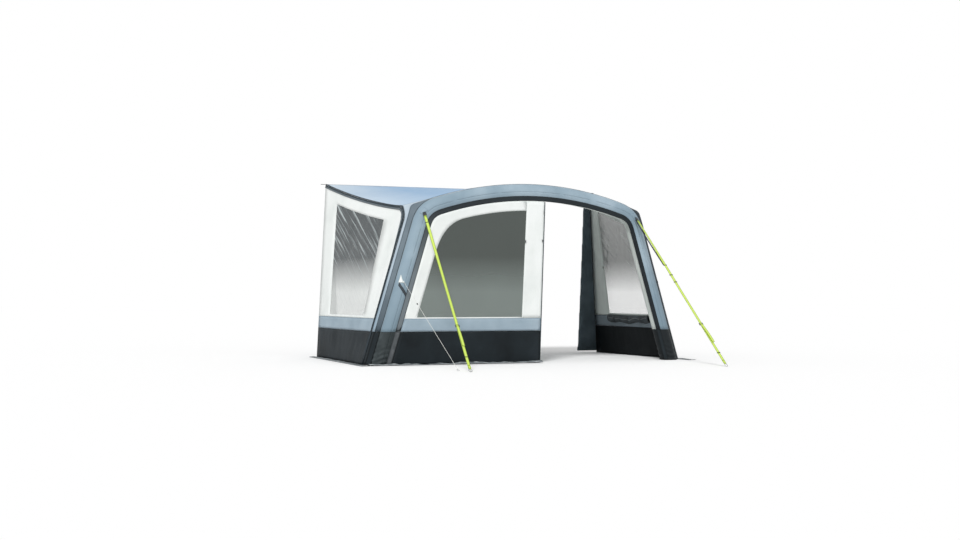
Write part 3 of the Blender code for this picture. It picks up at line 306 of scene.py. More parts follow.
# the outer trim is darker towards the ground, and painted darker on the right leg as shade
outerTrimWoven = wovenCloth("trim polyester, blue grey", "#6B7881", "#77848D", "#5E6B74", "#36424A",
                            hemMm=9, low=("#44515A", 0.35, 1.3), right=("#222D35", -0.6, 1.3))
pipingWoven = wovenCloth("piping tape, dark", "#202D35", "#2B3840", "#182329", "#151E23", 0.55, hemMm=0.5)
edgeWoven = wovenCloth("edge tape, mid grey", "#5C666C", "#687278", "#4F595F", "#3C464C", hemMm=3)
blindWoven = wovenCloth("blind polyester, charcoal", "#30383C", "#444D51", "#22292C", "#111517",
                        creases=0.8, patchSize=0.12)
blindEdgeWoven = wovenCloth("blind hem, grey", "#83898C", "#989DA0", "#6A7073", "#5B6164", patchSize=0.08)
padWoven = wovenCloth("pad polyester, charcoal", "#55626A", "#65727A", "#465258", "#2F393D", 0.7,
                      patchSize=0.35)
beamFilm = wovenCloth("beam film, milky", "#B9BEBB", "#C4C9C6", "#ACB1AE", "#A2A7A4", 0.35)
# each film's tint is painted shade and its pale colour painted light, for what is seen through it; the streak
# colours are painted reflections
leftFilm = clearFilm("left window film, creased", "#323C3F", "#A7B1B2", 0.88, 0.64, "#DDE1DF", slant=-56,
                     streaks=0.2, foldFrom=0.54, foldMm=45)
rightFilm = clearFilm("right window film, creased", "#525D58", "#C9CFCC", 0.72, 0.24, "#DDE1DF", slant=-56,
                      streaks=0.15, foldFrom=0.60)
frontFilm = clearFilm("front window film, smooth", "#3A433E", "#8F9893", 0.84, 0.76, "#6C7873", streaks=0.0,
                      foldFrom=0.9, foldMm=400)
limeWebbing = webbing("lime polypropylene webbing", "#D3EA6C", "#C3DB5C", "#93AB34")
darkWebbing = webbing("dark polypropylene webbing", "#283038", "#3A4349", "#1A2026")
zipCoil = webbing("nylon coil zip", "#15191B", "#2A3033", "#0E1113", ribMm=5.0)
blackMoulded = mouldedPlastic("black nylon, moulded", "#1B1D1E", "#34383A")
drawnTube = drawnMetal("aluminium tube, anodised", "#C3C6C8", "#A4A8AA")
platedWire = drawnMetal("steel wire, zinc plated", "#B4B7B8", "#8D9193", 0.38)
whiteRope = braidedRope("white rope, braided", "#EDEDE8", "#C6C8C4")
print("materials made")


# Making and finishing pieces


def newMesh(name, bm):
    mesh = bpy.data.meshes.new(name)
    bm.to_mesh(mesh)
    bm.free()
    return mesh


def newObject(name, bm, material, thickness=0.0, offset=0.0, lining=None, sharp=None, second=None):
    mesh = newMesh(name, bm)
    mesh.shade_smooth()
    if sharp:
        mesh.set_sharp_from_angle(angle=math.radians(sharp))
    made = addObject(name, mesh)
    for item in (material, second, lining):
        if item:
            mesh.materials.append(item)
    if thickness:
        solid = made.modifiers.new("thickness", "SOLIDIFY")
        solid.thickness = thickness
        solid.offset = offset
        if lining:
            solid.material_offset = 1
    return made


def finish(piece, slotName, *nodes, body="awning"):
    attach(piece, body)
    if nodes:
        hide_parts(*nodes)
    return piece


# A sheet of cloth starts as a flat grid, and each of its points is moved to its place on the awning.
# UVs are metres across and along the cloth, and hem is the distance to the nearest edge.
def clothGrid(columns, rows, pointAt, wrap=False, holes=None, lift=None, outward=None, hemAt=None, paint=None):
    bm = bmesh.new()
    uvLayer = bm.loops.layers.uv.new("UVMap")
    hemLayer = bm.verts.layers.float.new("hem")
    bmesh.ops.create_grid(bm, x_segments=columns, y_segments=rows, size=0.5)
    spots = {vert: (round((vert.co.x + 0.5) * columns), round((vert.co.y + 0.5) * rows)) for vert in bm.verts}
    placed = {spot: Vector(pointAt(*spot)) for spot in set(spots.values())}

    def measured(points):
        made = [0.0]
        for a, b in zip(points, points[1:]):
            made.append(made[-1] + (b - a).length)
        return made

    runs = [measured([placed[i, j] for i in range(columns + 1)]) for j in range(rows + 1)]
    rises = [measured([placed[i, j] for j in range(rows + 1)]) for i in range(columns + 1)]
    for vert, (i, j) in spots.items():
        vert.co = placed[i, j]
        sides = [rises[i][j], rises[i][-1] - rises[i][j]]
        if not wrap:
            sides += [runs[j][i], runs[j][-1] - runs[j][i]]
        vert[hemLayer] = hemAt(i, j) if hemAt else min(sides)
    middles = {face: [sum(spots[vert][k] for vert in face.verts) / 4 for k in (0, 1)] for face in bm.faces}
    for face, middle in middles.items():
        for loop in face.loops:
            i, j = spots[loop.vert]
            loop[uvLayer].uv = (runs[j][i], rises[i][j])
        if paint:
            face.material_index = paint(*middle)
    if holes:
        cut = [face for face, middle in middles.items() if holes(*middle)]
        bmesh.ops.delete(bm, geom=cut, context="FACES")
    if wrap:
        bmesh.ops.remove_doubles(bm, verts=bm.verts, dist=0.00005)
    bmesh.ops.recalc_face_normals(bm, faces=bm.faces)
    if outward and sum(face.normal.dot(outward) for face in bm.faces) < 0:
        bmesh.ops.reverse_faces(bm, faces=bm.faces)
    bm.normal_update()
    if lift:
        moves = [(vert, vert.normal * (lift(vert.co) * min(1, vert[hemLayer] / 0.06))) for vert in bm.verts]
        for vert, move in moves:
            vert.co += move
    return bm


# UVs are metres as seen from the front, and there is no hem
def mapFlat(bm):
    uvLayer = bm.loops.layers.uv.new("UVMap")
    hemLayer = bm.verts.layers.float.new("hem")
    for vert in bm.verts:
        vert[hemLayer] = 0.1
    for face in bm.faces:
        for loop in face.loops:
            loop[uvLayer].uv = (loop.vert.co.x, loop.vert.co.z)


# Film mirrors the sky, so its normals follow its faces and not its thin rim
def evenNormals(piece):
    even = piece.modifiers.new("normals", "WEIGHTED_NORMAL")
    even.mode = "FACE_AREA"
    even.weight = 100


def squareTo(direction, near):
    z = direction.normalized()
    y = z.cross(near).normalized()
    return y.cross(z), y


# Where a fitting sits: its Z along a direction and its X as near another as it can be
def standing(origin, direction, near):
    x, y = squareTo(direction, near)
    return Matrix.Translation(origin) @ Matrix((x, y, direction.normalized())).transposed().to_4x4()


def addBlock(bm, size, centre, round):
    spot = Matrix.Translation(centre) @ Matrix.Diagonal((*size, 1))
    verts = bmesh.ops.create_cube(bm, size=1, matrix=spot)["verts"]
    edges = list({edge for vert in verts for edge in vert.link_edges})
    bmesh.ops.bevel(bm, geom=edges, offset=round, segments=3, profile=0.5, affect="EDGES", material=-1)


# A rod that lies across, from one side to the other
def addRod(bm, radius, half, y, z):
    bmesh.ops.create_cone(bm, cap_ends=True, segments=16, radius1=radius, radius2=radius, depth=2 * half,
                          matrix=standing((0, y, z), across, upwards))


# A bent wire drawn through points, closed into a ring when looped
def addWire(bm, radius, points, sides=8, looped=True):
    count = len(points)
    rings = []
    for j, point in enumerate(points):
        ahead = points[(j + 1) % count] if looped else points[min(j + 1, count - 1)]
        behind = points[j - 1] if looped else points[max(j - 1, 0)]
        turn = standing(point, ahead - behind, Vector((0.31, 0.2, 0.93)))
        ring = bmesh.ops.create_circle(bm, segments=sides, radius=radius, matrix=turn)["verts"]
        rings.append(list({edge for vert in ring for edge in vert.link_edges}))
    for j in range(count if looped else count - 1):
        bmesh.ops.bridge_loops(bm, edges=rings[j] + rings[(j + 1) % count])
    if not looped:
        bmesh.ops.holes_fill(bm, edges=rings[0] + rings[-1], sides=sides)


# Points of a circle or an oval about Z
def roundPoints(count, wide, tall=None, shift=0.0, level=0.0):
    turns = [math.tau * i / count for i in range(count)]
    return [Vector((shift + wide * math.cos(turn), (tall or wide) * math.sin(turn), level)) for turn in turns]


def makeHard(name, bm, material, slotName, *nodes, body="awning", matrix=None):
    if matrix:
        bm.transform(matrix)
    bmesh.ops.recalc_face_normals(bm, faces=bm.faces)
    return finish(newObject(name, bm, material, sharp=35), slotName, *nodes, body=body)


# Webbing, tape or a patch that isn't a sheet of its own
def makeBand(name, columns, rows, pointAt, material, thickness, slotName, *nodes, body="awning", hemAt=None):
    bm = clothGrid(columns, rows, pointAt, hemAt=hemAt)
    return finish(newObject(name, bm, material, thickness), slotName, *nodes, body=body)


# A closed tube through middleAt's points. axesAt gives the two directions across it.
def makeTube(name, sides, steps, radius, middleAt, axesAt, material, slotName, *nodes):
    def pointAt(i, j):
        x, y = axesAt(j)
        turn = math.tau * i / sides
        return middleAt(j) + (x * math.cos(turn) + y * math.sin(turn)) * radius

    bm = clothGrid(sides, steps, pointAt, wrap=True)
    bmesh.ops.holes_fill(bm, edges=bm.edges, sides=sides)
    return finish(newObject(name, bm, material), slotName, *nodes)


def areaOf(bm):
    return sum(face.calc_area() for face in bm.faces)


# Soft ripples, up to so many metres high, as long as the given size
def ripples(height, size, stretch=(1, 1, 1), seed=0.0):
    def lift(point):
        spot = Vector(a * b for a, b in zip(point, stretch)) / size
        return height * (noise.noise(spot + Vector((seed, seed, seed))) + 0.4 * noise.noise(spot * 2.3))
    return lift


def makeSheet(name, columns, rows, pointAt, material, slotName, node, flat, held="stretched", restsOn=(),
              thickness=None, lining=None, **more):
    bm = clothGrid(columns, rows, pointAt, **more)
    area = areaOf(bm)
    piece = newObject(name, bm, material, thickness or cloth["thickness"], lining=lining)
    finish(piece, slotName, node)
    width, length = flat
    length *= max(1, area / (width * length))
    return piece


# The beam's line, from the left foot over the crown to the right one


def lerp(a, b, share):
    return a + (b - a) * share


def clamped(share):
    return min(1, max(0, share))


def eased(share):
    share = clamped(share)
    return share * share * (3 - 2 * share)


def place(x, back, z):
    return Vector((x, awning["beamY"] + back, z))


# One place on the beam's axis: where it is, which way is up along it, and how far it is over the roof
class Station:
    def __init__(self, x, z, up, level=False, crown=0.0, bend=None):
        self.x, self.z, self.up, self.level, self.crown, self.bend = x, z, up, level, crown, bend
        self.out = (up[1], -up[0])

    def at(self, out, back, side=1):
        x, z = self.x + self.out[0] * out, self.z + self.out[1] * out
        if self.level:
            x += self.up[0] * (self.z - z) / self.up[1]
            z = self.z
        return place(side * x, back, z)


legRun = awning["cornerHalf"] - awning["footHalf"]
legLength = math.hypot(legRun, awning["shoulderHeight"])
legUp = (legRun / legLength, awning["shoulderHeight"] / legLength)
rise = awning["crownHeight"] - awning["shoulderHeight"]
crownRadius = (awning["cornerHalf"] ** 2 + rise ** 2) / (2 * rise)
crownCentre = awning["crownHeight"] - crownRadius
crownTurn = math.asin(awning["cornerHalf"] / crownRadius) - awning["shoulderSetback"] / crownRadius
bendStart = (awning["cornerHalf"] - legUp[0] * awning["shoulderSetback"],
             awning["shoulderHeight"] - legUp[1] * awning["shoulderSetback"])


def legStation(level):
    share = level / awning["shoulderHeight"]
    return Station(lerp(awning["footHalf"], awning["cornerHalf"], share), level, legUp, level=True)


def legStations(low, high, steps):
    return [legStation(lerp(low, high, i / steps)) for i in range(steps + 1)]


def crownStation(turn):
    x, z = crownRadius * math.sin(turn), crownCentre + crownRadius * math.cos(turn)
    return Station(x, z, (-math.cos(turn), math.sin(turn)), crown=1.0)


# Two places on a rounded corner's control lines, from a start that runs up the leg to a place on the crown
def roundedCorner(start, end, endUp, share):
    wedge = legUp[0] * endUp[1] - legUp[1] * endUp[0]
    reach = ((end[0] - start[0]) * endUp[1] - (end[1] - start[1]) * endUp[0]) / wedge
    corner = (start[0] + legUp[0] * reach, start[1] + legUp[1] * reach)
    return ((lerp(start[0], corner[0], share), lerp(start[1], corner[1], share)),
            (lerp(corner[0], end[0], share), lerp(corner[1], end[1], share)))


def bendStation(share):
    end = crownStation(crownTurn)
    a, b = roundedCorner(bendStart, (end.x, end.z), end.up, share)
    length = math.hypot(b[0] - a[0], b[1] - a[1])
    up = ((b[0] - a[0]) / length, (b[1] - a[1]) / length)
    return Station(lerp(a[0], b[0], share), lerp(a[1], b[1], share), up, crown=eased(share), bend=share)


def halfBeam(floor, legSteps=16, bendSteps=10, crownSteps=22):
    made = legStations(floor, bendStart[1], legSteps)[:-1]
    made += [bendStation(i / bendSteps) for i in range(bendSteps + 1)]
    return made + [crownStation(crownTurn * (1 - i / crownSteps)) for i in range(1, crownSteps + 1)]


def wholeBeam(floor, **steps):
    half = halfBeam(floor, **steps)
    return [(station, -1) for station in half] + [(station, 1) for station in reversed(half[:-1])]


def sleevePoint(station, side, turn, radius):
    return station.at(radius * math.sin(turn), -radius * math.cos(turn), side)


def flangeEdge(station, side):
    turn = lerp(awning["flangeTurnLeg"], awning["flangeTurnCrown"], station.crown)
    radius, seam, width = awning["sleeveRadius"], awning["outerSeamTurn"], awning["flangeWidth"]
    point = station.at(radius * math.sin(seam) + width * math.cos(turn),
                       width * math.sin(turn) - radius * math.cos(seam), side)
    if station.bend in (None, 0, 1):
        return point
    # its corner is sharper than the beam's: straight on, a tight bend, and straight on
    start, end = flangeEdge(bendStation(0), 1), flangeEdge(bendStation(1), 1)
    corner = roundedCorner((start.x, start.z), (end.x, end.z), bendStation(1).up, 1)[0]
    start.y = end.y = 0
    peak = Vector((corner[0], 0, corner[1]))
    a, b = start.lerp(peak, awning["flangeTight"]), end.lerp(peak, awning["flangeTight"])
    straight = awning["flangeStraight"]
    share = (station.bend - straight) / (1 - 2 * straight)
    if share < 0:
        made = start.lerp(a, station.bend / straight)
    elif share > 1:
        made = end.lerp(b, (1 - station.bend) / straight)
    else:
        made = a.lerp(peak, share).lerp(peak.lerp(b, share), share)
    return Vector((side * made.x, point.y, made.z))


def trimEdge(station, side):
    return station.at(-awning["trimOut"], -awning["panelForward"], side)


def windowEdge(station, side):
    width = lerp(awning["surroundLeg"], awning["surroundCrown"], station.crown)
    return station.at(-awning["trimOut"] - width, -awning["panelForward"], side)


def wallFront(station, side):
    return station.at(awning["wallOut"], awning["wallBack"], side)


def cornerPoint(side, share):
    turn = math.pi / 2 * share
    return wallFront(bendStation(0), side) + Vector((
        -side * awning["cornerIn"] * math.sin(turn), awning["cornerBack"] * (1 - math.cos(turn)),
        awning["cornerRise"] * math.sin(turn)))


cornerDepth = awning["wallBack"] + awning["cornerBack"]


def roofEdge(back, side):
    start = cornerPoint(side, 1)
    share = (back - cornerDepth) / (awning["railBack"] - cornerDepth)
    sag = 4 * awning["roofSag"] * share * (1 - share)
    return place(lerp(start.x, side * awning["railHalf"], share), back,
                 lerp(start.z, awning["railHeight"], share) - sag)


def groundPoint(back, side):
    front = wallFront(legStation(0), side).x
    share = (back - awning["wallBack"]) / (awning["railBack"] - awning["wallBack"])
    return place(lerp(front, side * awning["rearFootHalf"], share), back, 0)


def alongList(values, share):
    cell = min(int(share), len(values) - 2)
    return lerp(values[cell], values[cell + 1], share - cell)


# The wall is ruled from ground to top in 12 columns. Column 6 is the window's front edge and 10 its rear one.
wallTops = [cornerDepth, 0.665, 1.00275, 1.3405, 1.67825, 2.016, 2.19835, awning["railBack"]]
wallGrounds = [0.13, 0.1534, 0.1846, 0.2275, 0.2782, 0.3328, 0.52, 0.8475, 1.175, 1.5025, 1.83, 2.10535,
               awning["railBack"]]


def wallColumn(side, column):
    top = cornerPoint(side, column / 5) if column <= 5 else roofEdge(alongList(wallTops, column - 5), side)
    return groundPoint(alongList(wallGrounds, column), side), top


def onColumn(side, column, height):
    ground, top = wallColumn(side, column)
    return ground.lerp(top, height / top.z)


# Storm straps and guy line, with the fittings on them

straps = {
    "width": 0.040, "drawn": 0.035, "thickness": 0.0025, "twistEnd": 0.4, "buckleShare": 0.74, "tail": 0.30,
    "fold": 0.055, "clip": (0.047, 0.0078, 0.030), "buckle": (0.052, 0.009, 0.034), "rail": 0.0052,
    "bar": 0.0018, "ring": 0.020, "wire": 0.003, "keeperWire": 0.0017, "shadeStripEnd": 0.33,
    "neck": (0.030, 0.0062, 0.012), "prong": (0.007, 0.0070, 0.016), "prongOut": 0.0185, "pin": 0.0022,
    "keeper": ((0.0222, 0.0034), (0, 0.0036), (-0.0222, 0.0034), (-0.0236, 0), (-0.0222, -0.0034),
               (0, -0.0036), (0.0222, -0.0034), (0.0236, 0)),
    "sewnThick": 0.0012, "tailThick": 0.0018, "rootThick": 0.0024, "rootHalf": 0.019,
    "left": {"from": (-1.48572, -1.22837, 1.84514), "to": (-1.51967, -2.82459, 0.03547),
             "wide": (-0.91819, 0.30548, -0.25222), "length": 2.4133, "root": (-1.48488, -1.18849, 1.89036),
             "ringAt": (-1.52, -2.84, 0.018), "keepers": (0.05, 0.93), "tailLift": 0.003},
    "right": {"from": (1.49406, -1.22709, 1.84659), "to": (1.81691, -2.82472, 0.03519),
              "wide": (-0.92765, -0.3462, 0.14001), "length": 2.4368, "root": (1.48607, -1.18756, 1.89141),
              "ringAt": (1.82, -2.84, 0.01787), "keepers": (0.33, 0.40, 0.45, 0.93), "tailLift": 0.011},
}
guy = {"from": (-1.75009, -1.21606, 1.01224), "to": (-1.5715, -2.57851, 0.01741), "length": 1.6964,
       "radius": 0.002, "root": (-1.75327, -1.19172, 1.03), "ringAt": (-1.57, -2.59, 0.00903), "ring": 0.012,
       "wire": 0.002, "turns": 0.0032, "turnWire": 0.0014, "sliderShare": 0.26, "sliderRing": 0.0052,
       "sliderRise": 0.0095, "sliderWire": 0.0020, "sliderRail": (0.0024, 0.0052, 0.0245),
       "sliderRailOut": 0.0060, "tabWide": (0.0125, 0.0055), "tabThick": 0.0022}


# A welded ring that stands in the plane of the line that pulls it
def makeRing(name, facts, direction, radius, wire, node):
    turn = standing(facts["ringAt"], direction.cross(direction.cross(upwards)), direction)
    bm = bmesh.new()
    addWire(bm, wire, roundPoints(40, radius), sides=14)
    return makeHard(name, bm, platedWire, "ring_metal", node, matrix=turn)


def makeStrap(name):
    facts = straps[name]
    tensioner = f"strap_{name}_tensioner"
    start, end = Vector(facts["from"]), Vector(facts["to"])
    direction = (end - start).normalized()
    wide = Vector(facts["wide"])
    level, through = squareTo(direction, across)
    clipAcross, clipThrough = squareTo(direction, wide)
    if wide.dot(level) < 0:
        wide.negate()
    twist = wide.angle(level) * (1 if wide.cross(level).dot(direction) > 0 else -1)
    steps = 48
    half, thick = straps["drawn"] / 2, straps["thickness"]

    def wideAt(share):
        return Matrix.Rotation(twist * eased(share / straps["twistEnd"]), 3, direction) @ wide

    def pointAt(i, j):
        # the ribs pull in a little, and the band waves by a millimetre
        share = j / steps
        wave = through * (0.0006 * math.sin(share * 21) * math.sin(math.pi * share))
        return start.lerp(end, share) + wideAt(share) * (half * (i / 2 - 1)) + wave

    piece = makeBand(f"stormStrap_{name}", 4, steps, pointAt, limeWebbing, thick, "lime_webbing",
                     f"storm_strap_{name}")
    ring = makeRing(f"pegRing_{name}", facts, direction, straps["ring"], straps["wire"], f"peg_ring_{name}")

    # the end is folded round the ring and sewn back on both faces
    wrap = straps["wire"] + 0.0016
    fold = [(0.0022, -straps["fold"]), (0.0022, -0.030), (0.0023, -0.012), (0.0030, -0.004)]
    turns = [math.radians(80 - 20 * k) for k in range(9)]
    fold += [(wrap * math.sin(turn), 0.0033 + wrap * math.cos(turn)) for turn in turns]
    fold += [(-y, z) for y, z in reversed(fold[:4])]

    def foldAt(i, j):
        y, z = fold[j]
        width = lerp(half * 0.98, 0.009, eased((z + 0.028) / 0.028))
        return end + level * (width * (i / 3 - 1)) + through * y + direction * z

    loop = makeBand(f"strapFold_{name}", 6, len(fold) - 1, foldAt, limeWebbing, straps["sewnThick"],
                    "lime_webbing")

    # side rails and three bars of a ladder buckle, which the band is threaded through
    width, tall, length = straps["buckle"]
    rail, bar = straps["rail"], straps["bar"]
    bm = bmesh.new()
    for side in (-1, 1):
        addBlock(bm, (rail, tall, length), (side * (width - rail) / 2, 0, 0), 0.0014)
    for along, side in ((-0.42, 1), (-0.02, -1), (0.42, 1)):
        addRod(bm, bar, width / 2 - 0.004, side * (thick / 2 + bar + 0.0005), along * length)
    seat = standing(start.lerp(end, straps["buckleShare"]), direction, across)
    buckle = makeHard(f"strapBuckle_{name}", bm, blackMoulded, "black_plastic", f"strap_buckle_{name}",
                      body=tensioner, matrix=seat)

    def tailAt(i, j):
        share = j / 24
        y = 0.0046 + facts["tailLift"] * (math.sin(math.pi * share * 0.85) + 0.4 * share * share)
        return seat @ Vector((half * (i / 2 - 1) * 0.97 + facts["tailLift"] * share, y,
                               0.003 + straps["tail"] * share))

    tail = makeBand(f"strapTail_{name}", 4, 24, tailAt, limeWebbing, straps["tailThick"], "lime_webbing",
                    body=tensioner)

    # small keepers round the band
    bm = bmesh.new()
    for share in facts["keepers"]:
        x, y = squareTo(direction, wideAt(share))
        for shift in (-0.003, 0, 0.003):
            middle = start.lerp(end, share) + direction * shift
            addWire(bm, straps["keeperWire"], [middle + x * a + y * b for a, b in straps["keeper"]])
    keepers = makeHard(f"strapKeepers_{name}", bm, blackMoulded, "black_plastic")

    if name == "right":
        # a dark band runs beside it from the clip to the first keeper: painted shade, for the band's shaded side
        # seen edge-on
        def shadeStripAt(i, j):
            share = j / 20
            beside = level * (0.009 * (i / 2 - 1) - lerp(0.030, 0.021, share))
            bow = through * 0.006 * math.sin(math.pi * share)
            return start.lerp(end, lerp(-0.006, straps["shadeStripEnd"], share)) + beside - bow

        makeBand("strapShadeStrip", 4, 20, shadeStripAt, darkWebbing, straps["tailThick"], "trim_cloth")

    # the clip at the shoulder, on a short loop of dark webbing
    bm = bmesh.new()
    addBlock(bm, straps["clip"], (0, 0, 0.014), 0.0024)
    addBlock(bm, straps["neck"], (0, 0, -0.004), 0.0018)
    for side in (-1, 1):
        addBlock(bm, straps["prong"], (side * straps["prongOut"], 0, -0.006), 0.0018)
    addRod(bm, straps["pin"], 0.021, 0, 0.0275)
    middle = Vector(facts["root"]) + direction * 0.03
    clip = makeHard(f"strapClip_{name}", bm, blackMoulded, "black_plastic", f"strap_clip_{name}",
                    matrix=standing(middle, direction, Vector(facts["wide"])))

    def rootAt(i, j):
        return (middle + clipAcross * (straps["rootHalf"] * (i / 2 - 1)) + clipThrough * 0.0006
                + direction * lerp(-0.037, -0.008, j / 6))

    root = makeBand(f"strapRoot_{name}", 4, 6, rootAt, darkWebbing, straps["rootThick"], "lime_webbing")


def makeGuy():
    start, end = Vector(guy["from"]), Vector(guy["to"])
    steps = 60
    direction = (end - start).normalized()
    x, y = squareTo(direction, across)
    piece = makeTube("guyRope", 10, steps, guy["radius"], lambda j: start.lerp(end, j / steps), lambda j: (x, y),
                     whiteRope, "white_rope", "guy_rope")
    ring = makeRing("guyRing", guy, direction, guy["ring"], guy["wire"], "guy_ring")

    # its tab is folded over the rope's end, and the rope has two turns there and one at the ring
    along = Vector((-legUp[0], 0, legUp[1]))
    tilt = (along - direction * along.dot(direction)).normalized()

    def tabAt(i, j):
        share = j / 8
        wide = along.lerp(tilt, share).normalized() * lerp(*guy["tabWide"], eased(share))
        return Vector(guy["root"]).lerp(start, share * 0.985) + wide * (i / 3 - 1)

    tab = makeBand("guyTab", 6, 8, tabAt, whiteWoven, guy["tabThick"], "white_cloth", "guy_tab")
    bm = bmesh.new()
    for middle in (start + direction * 0.004, start + direction * 0.0075, end - direction * 0.006):
        addWire(bm, guy["turnWire"],
                [middle + x * spot.x + y * spot.y for spot in roundPoints(12, guy["turns"])])
    turns = makeHard("guyTurns", bm, darkWebbing, "white_rope")

    # slider: three rings between two rails
    bm = bmesh.new()
    for level in (-guy["sliderRise"], 0, guy["sliderRise"]):
        addWire(bm, guy["sliderWire"], roundPoints(16, guy["sliderRing"], level=level))
    for side in (-1, 1):
        addBlock(bm, guy["sliderRail"], (side * guy["sliderRailOut"], 0, 0), 0.0010)
    spot = standing(start.lerp(end, guy["sliderShare"]), direction, across)
    slider = makeHard("guySlider", bm, blackMoulded, "black_plastic", "guy_slider", body="guy_tensioner",
                      matrix=spot)


for name, side in hands:
    makeStrap(name)
makeGuy()
print("cords made")


# Air beam: sleeve, boots and the film tube inside

sleeve = {"sides": 48, "wall": 0.0015, "welt": 0.003, "pinch": 0.002, "flutter": 0.0012, "beam": 0.0975,
          "beamSides": 32, "bootSag": 0.007, "bootSagTop": 0.28}


def seamTurn(turn):
    seams = (-awning["innerSeamTurn"], awning["outerSeamTurn"])
    return min(abs(math.remainder(turn - seam, math.tau)) for seam in seams)


def seamDistance(i, j):
    return awning["sleeveRadius"] * seamTurn(math.tau * i / sleeve["sides"])


def sleeveRadiusAt(turn, station, side):
    # the seams stand up, small pinches run across the inner side of each shoulder, and the cloth flutters
    welt = sleeve["welt"] * max(0, 1 - seamTurn(turn) / 0.07)
    bend = math.sin(math.pi * station.crown) if 0 < station.crown < 1 else 0
    inward = max(0, -math.sin(turn)) + 0.3
    pinch = sleeve["pinch"] * inward * bend * math.sin(station.x * 60 + station.z * 75)
    flutter = sleeve["flutter"] * noise.noise(Vector((turn * 1.5, station.x * 6 * side, station.z * 6)))
    return awning["sleeveRadius"] + welt + flutter + pinch


def roundCloth(stations, sides, radiusAt, **more):
    def pointAt(i, j):
        station, side = stations[j]
        turn = math.tau * i / sides
        return sleevePoint(station, side, turn, radiusAt(turn, station, side))

    return clothGrid(sides, len(stations) - 1, pointAt, wrap=True, **more)


def makeSleevePiece(name, stations, radiusAt, material, slotName, node, second=None, paint=None):
    bm = roundCloth(stations, sleeve["sides"], radiusAt, hemAt=seamDistance, paint=paint)
    width = math.tau * awning["sleeveRadius"]
    flat = (width, areaOf(bm) / width)
    piece = finish(newObject(name, bm, material, sleeve["wall"], -1.0, second=second), slotName, node)


def makeSleeve():
    def innerHalf(i, j):
        # the side inside the awning, between the two seams, takes the lining colour, which is painted shade
        turn = math.tau * i / sleeve["sides"]
        return int(awning["outerSeamTurn"] < turn < math.tau - awning["innerSeamTurn"])

    def bootRadius(turn, station, side):
        low = 1 - min(1, station.z / sleeve["bootSagTop"])
        sag = sleeve["bootSag"] * low * math.sin(station.z * 95 + 2.5 * math.sin(turn * 2 + side))
        return sleeveRadiusAt(turn, station, side) + sag

    top = wholeBeam(awning["skirtHeight"] + cloth["seam"], legSteps=26, bendSteps=20, crownSteps=30)
    makeSleevePiece("beamSleeve", top, sleeveRadiusAt, sleeveWoven, "sleeve_cloth", "arch_sleeve",
                    shadedLiningWoven, innerHalf)
    for name, side in hands:
        boot = [(station, side) for station in legStations(0.0042, awning["skirtHeight"] - cloth["seam"], 40)]
        makeSleevePiece(f"sleeveBoot_{name}", boot, bootRadius, bootWoven, "skirt_cloth",
                        f"sleeve_boot_{name}")
    sides = sleeve["beamSides"]
    bm = roundCloth(wholeBeam(0.013), sides, lambda turn, station, side: sleeve["beam"])
    bmesh.ops.holes_fill(bm, edges=bm.edges, sides=sides)
    bmesh.ops.recalc_face_normals(bm, faces=bm.faces)
    finish(newObject("beamTube", bm, beamFilm), "beam_film", "air_beam")


makeSleeve()
print("sleeve made")


# Trims, gussets and roof

poles = ("left", "centre", "right")
trims = {"seamProud": 0.0035, "beadRadius": 0.0034, "beadOut": 0.07, "roofSize": (4.1, 2.3)}


def makeTrims():
    skirt, seam = awning["skirtHeight"], cloth["seam"]
    for name, turn, edge, reach, dyed, width in (
            ("inner", -awning["innerSeamTurn"], trimEdge, 0.998, trimWoven, 0.07),
            ("outer", awning["outerSeamTurn"], flangeEdge, 0.992, outerTrimWoven, 0.078)):

        def makeTrim(part, stations, material, length, lift):
            def pointAt(i, j):
                station, side = stations[j]
                start = sleevePoint(station, side, turn, awning["sleeveRadius"] + trims["seamProud"])
                return start.lerp(edge(station, side), i / 6 * reach)

            makeSheet(f"{name}Trim_{part}", 6, len(stations) - 1, pointAt, material, "trim_cloth",
                      f"{name}_trim", (width, length), lift=lift)

        makeTrim("top", wholeBeam(skirt + seam), dyed, 6.6, ripples(0.002, 0.12, seed=3))
        for hand, side in hands:
            foot = [(station, side) for station in legStations(cloth["floorGap"], skirt - seam, 16)]
            # the left inner trim's foot is painted lighter as lit; the others keep the dark skirt cloth
            dark = litFootWoven if name == "inner" and side < 0 else skirtWoven
            makeTrim(f"foot_{hand}", foot, dark, 0.43, ripples(0.005, 0.10, seed=4))


def makeGussets():
    for name, side in hands:
        def legPairs(low, high, steps):
            return [(flangeEdge(station, side), wallFront(station, side))
                    for station in legStations(low, high, steps)]

        def makeGusset(part, pairs, material, slotName, flat, lift, lining):
            def pointAt(i, j):
                near, far = pairs[j]
                width = (far - near).length
                return near.lerp(far, lerp(0.001 / width, 1 - awning["edge"] / width, i / 8))

            makeSheet(f"gusset_{name}_{part}", 8, len(pairs) - 1, pointAt, material, slotName,
                      f"gusset_{name}", flat, lift=lift, lining=lining,
                      outward=Vector((side * 0.8, -0.6, 0.1)))

        leg = legPairs(awning["skirtHeight"], bendStart[1], 20)[:-1]
        bend = [(flangeEdge(bendStation(i / 12), side), cornerPoint(side, i / 12)) for i in range(13)]
        makeGusset("cloth", leg + bend, gussetWoven, "roof_cloth", (0.33, 1.95),
                   ripples(0.006, 0.2, seed=7 + side), shadedLiningWoven)
        makeGusset("foot", legPairs(cloth["floorGap"], awning["skirtHeight"] - 0.0004, 8), skirtWoven,
                   "skirt_cloth", (0.12, 0.43), ripples(0.003, 0.15, seed=9 + side), shadedSkirtLining)


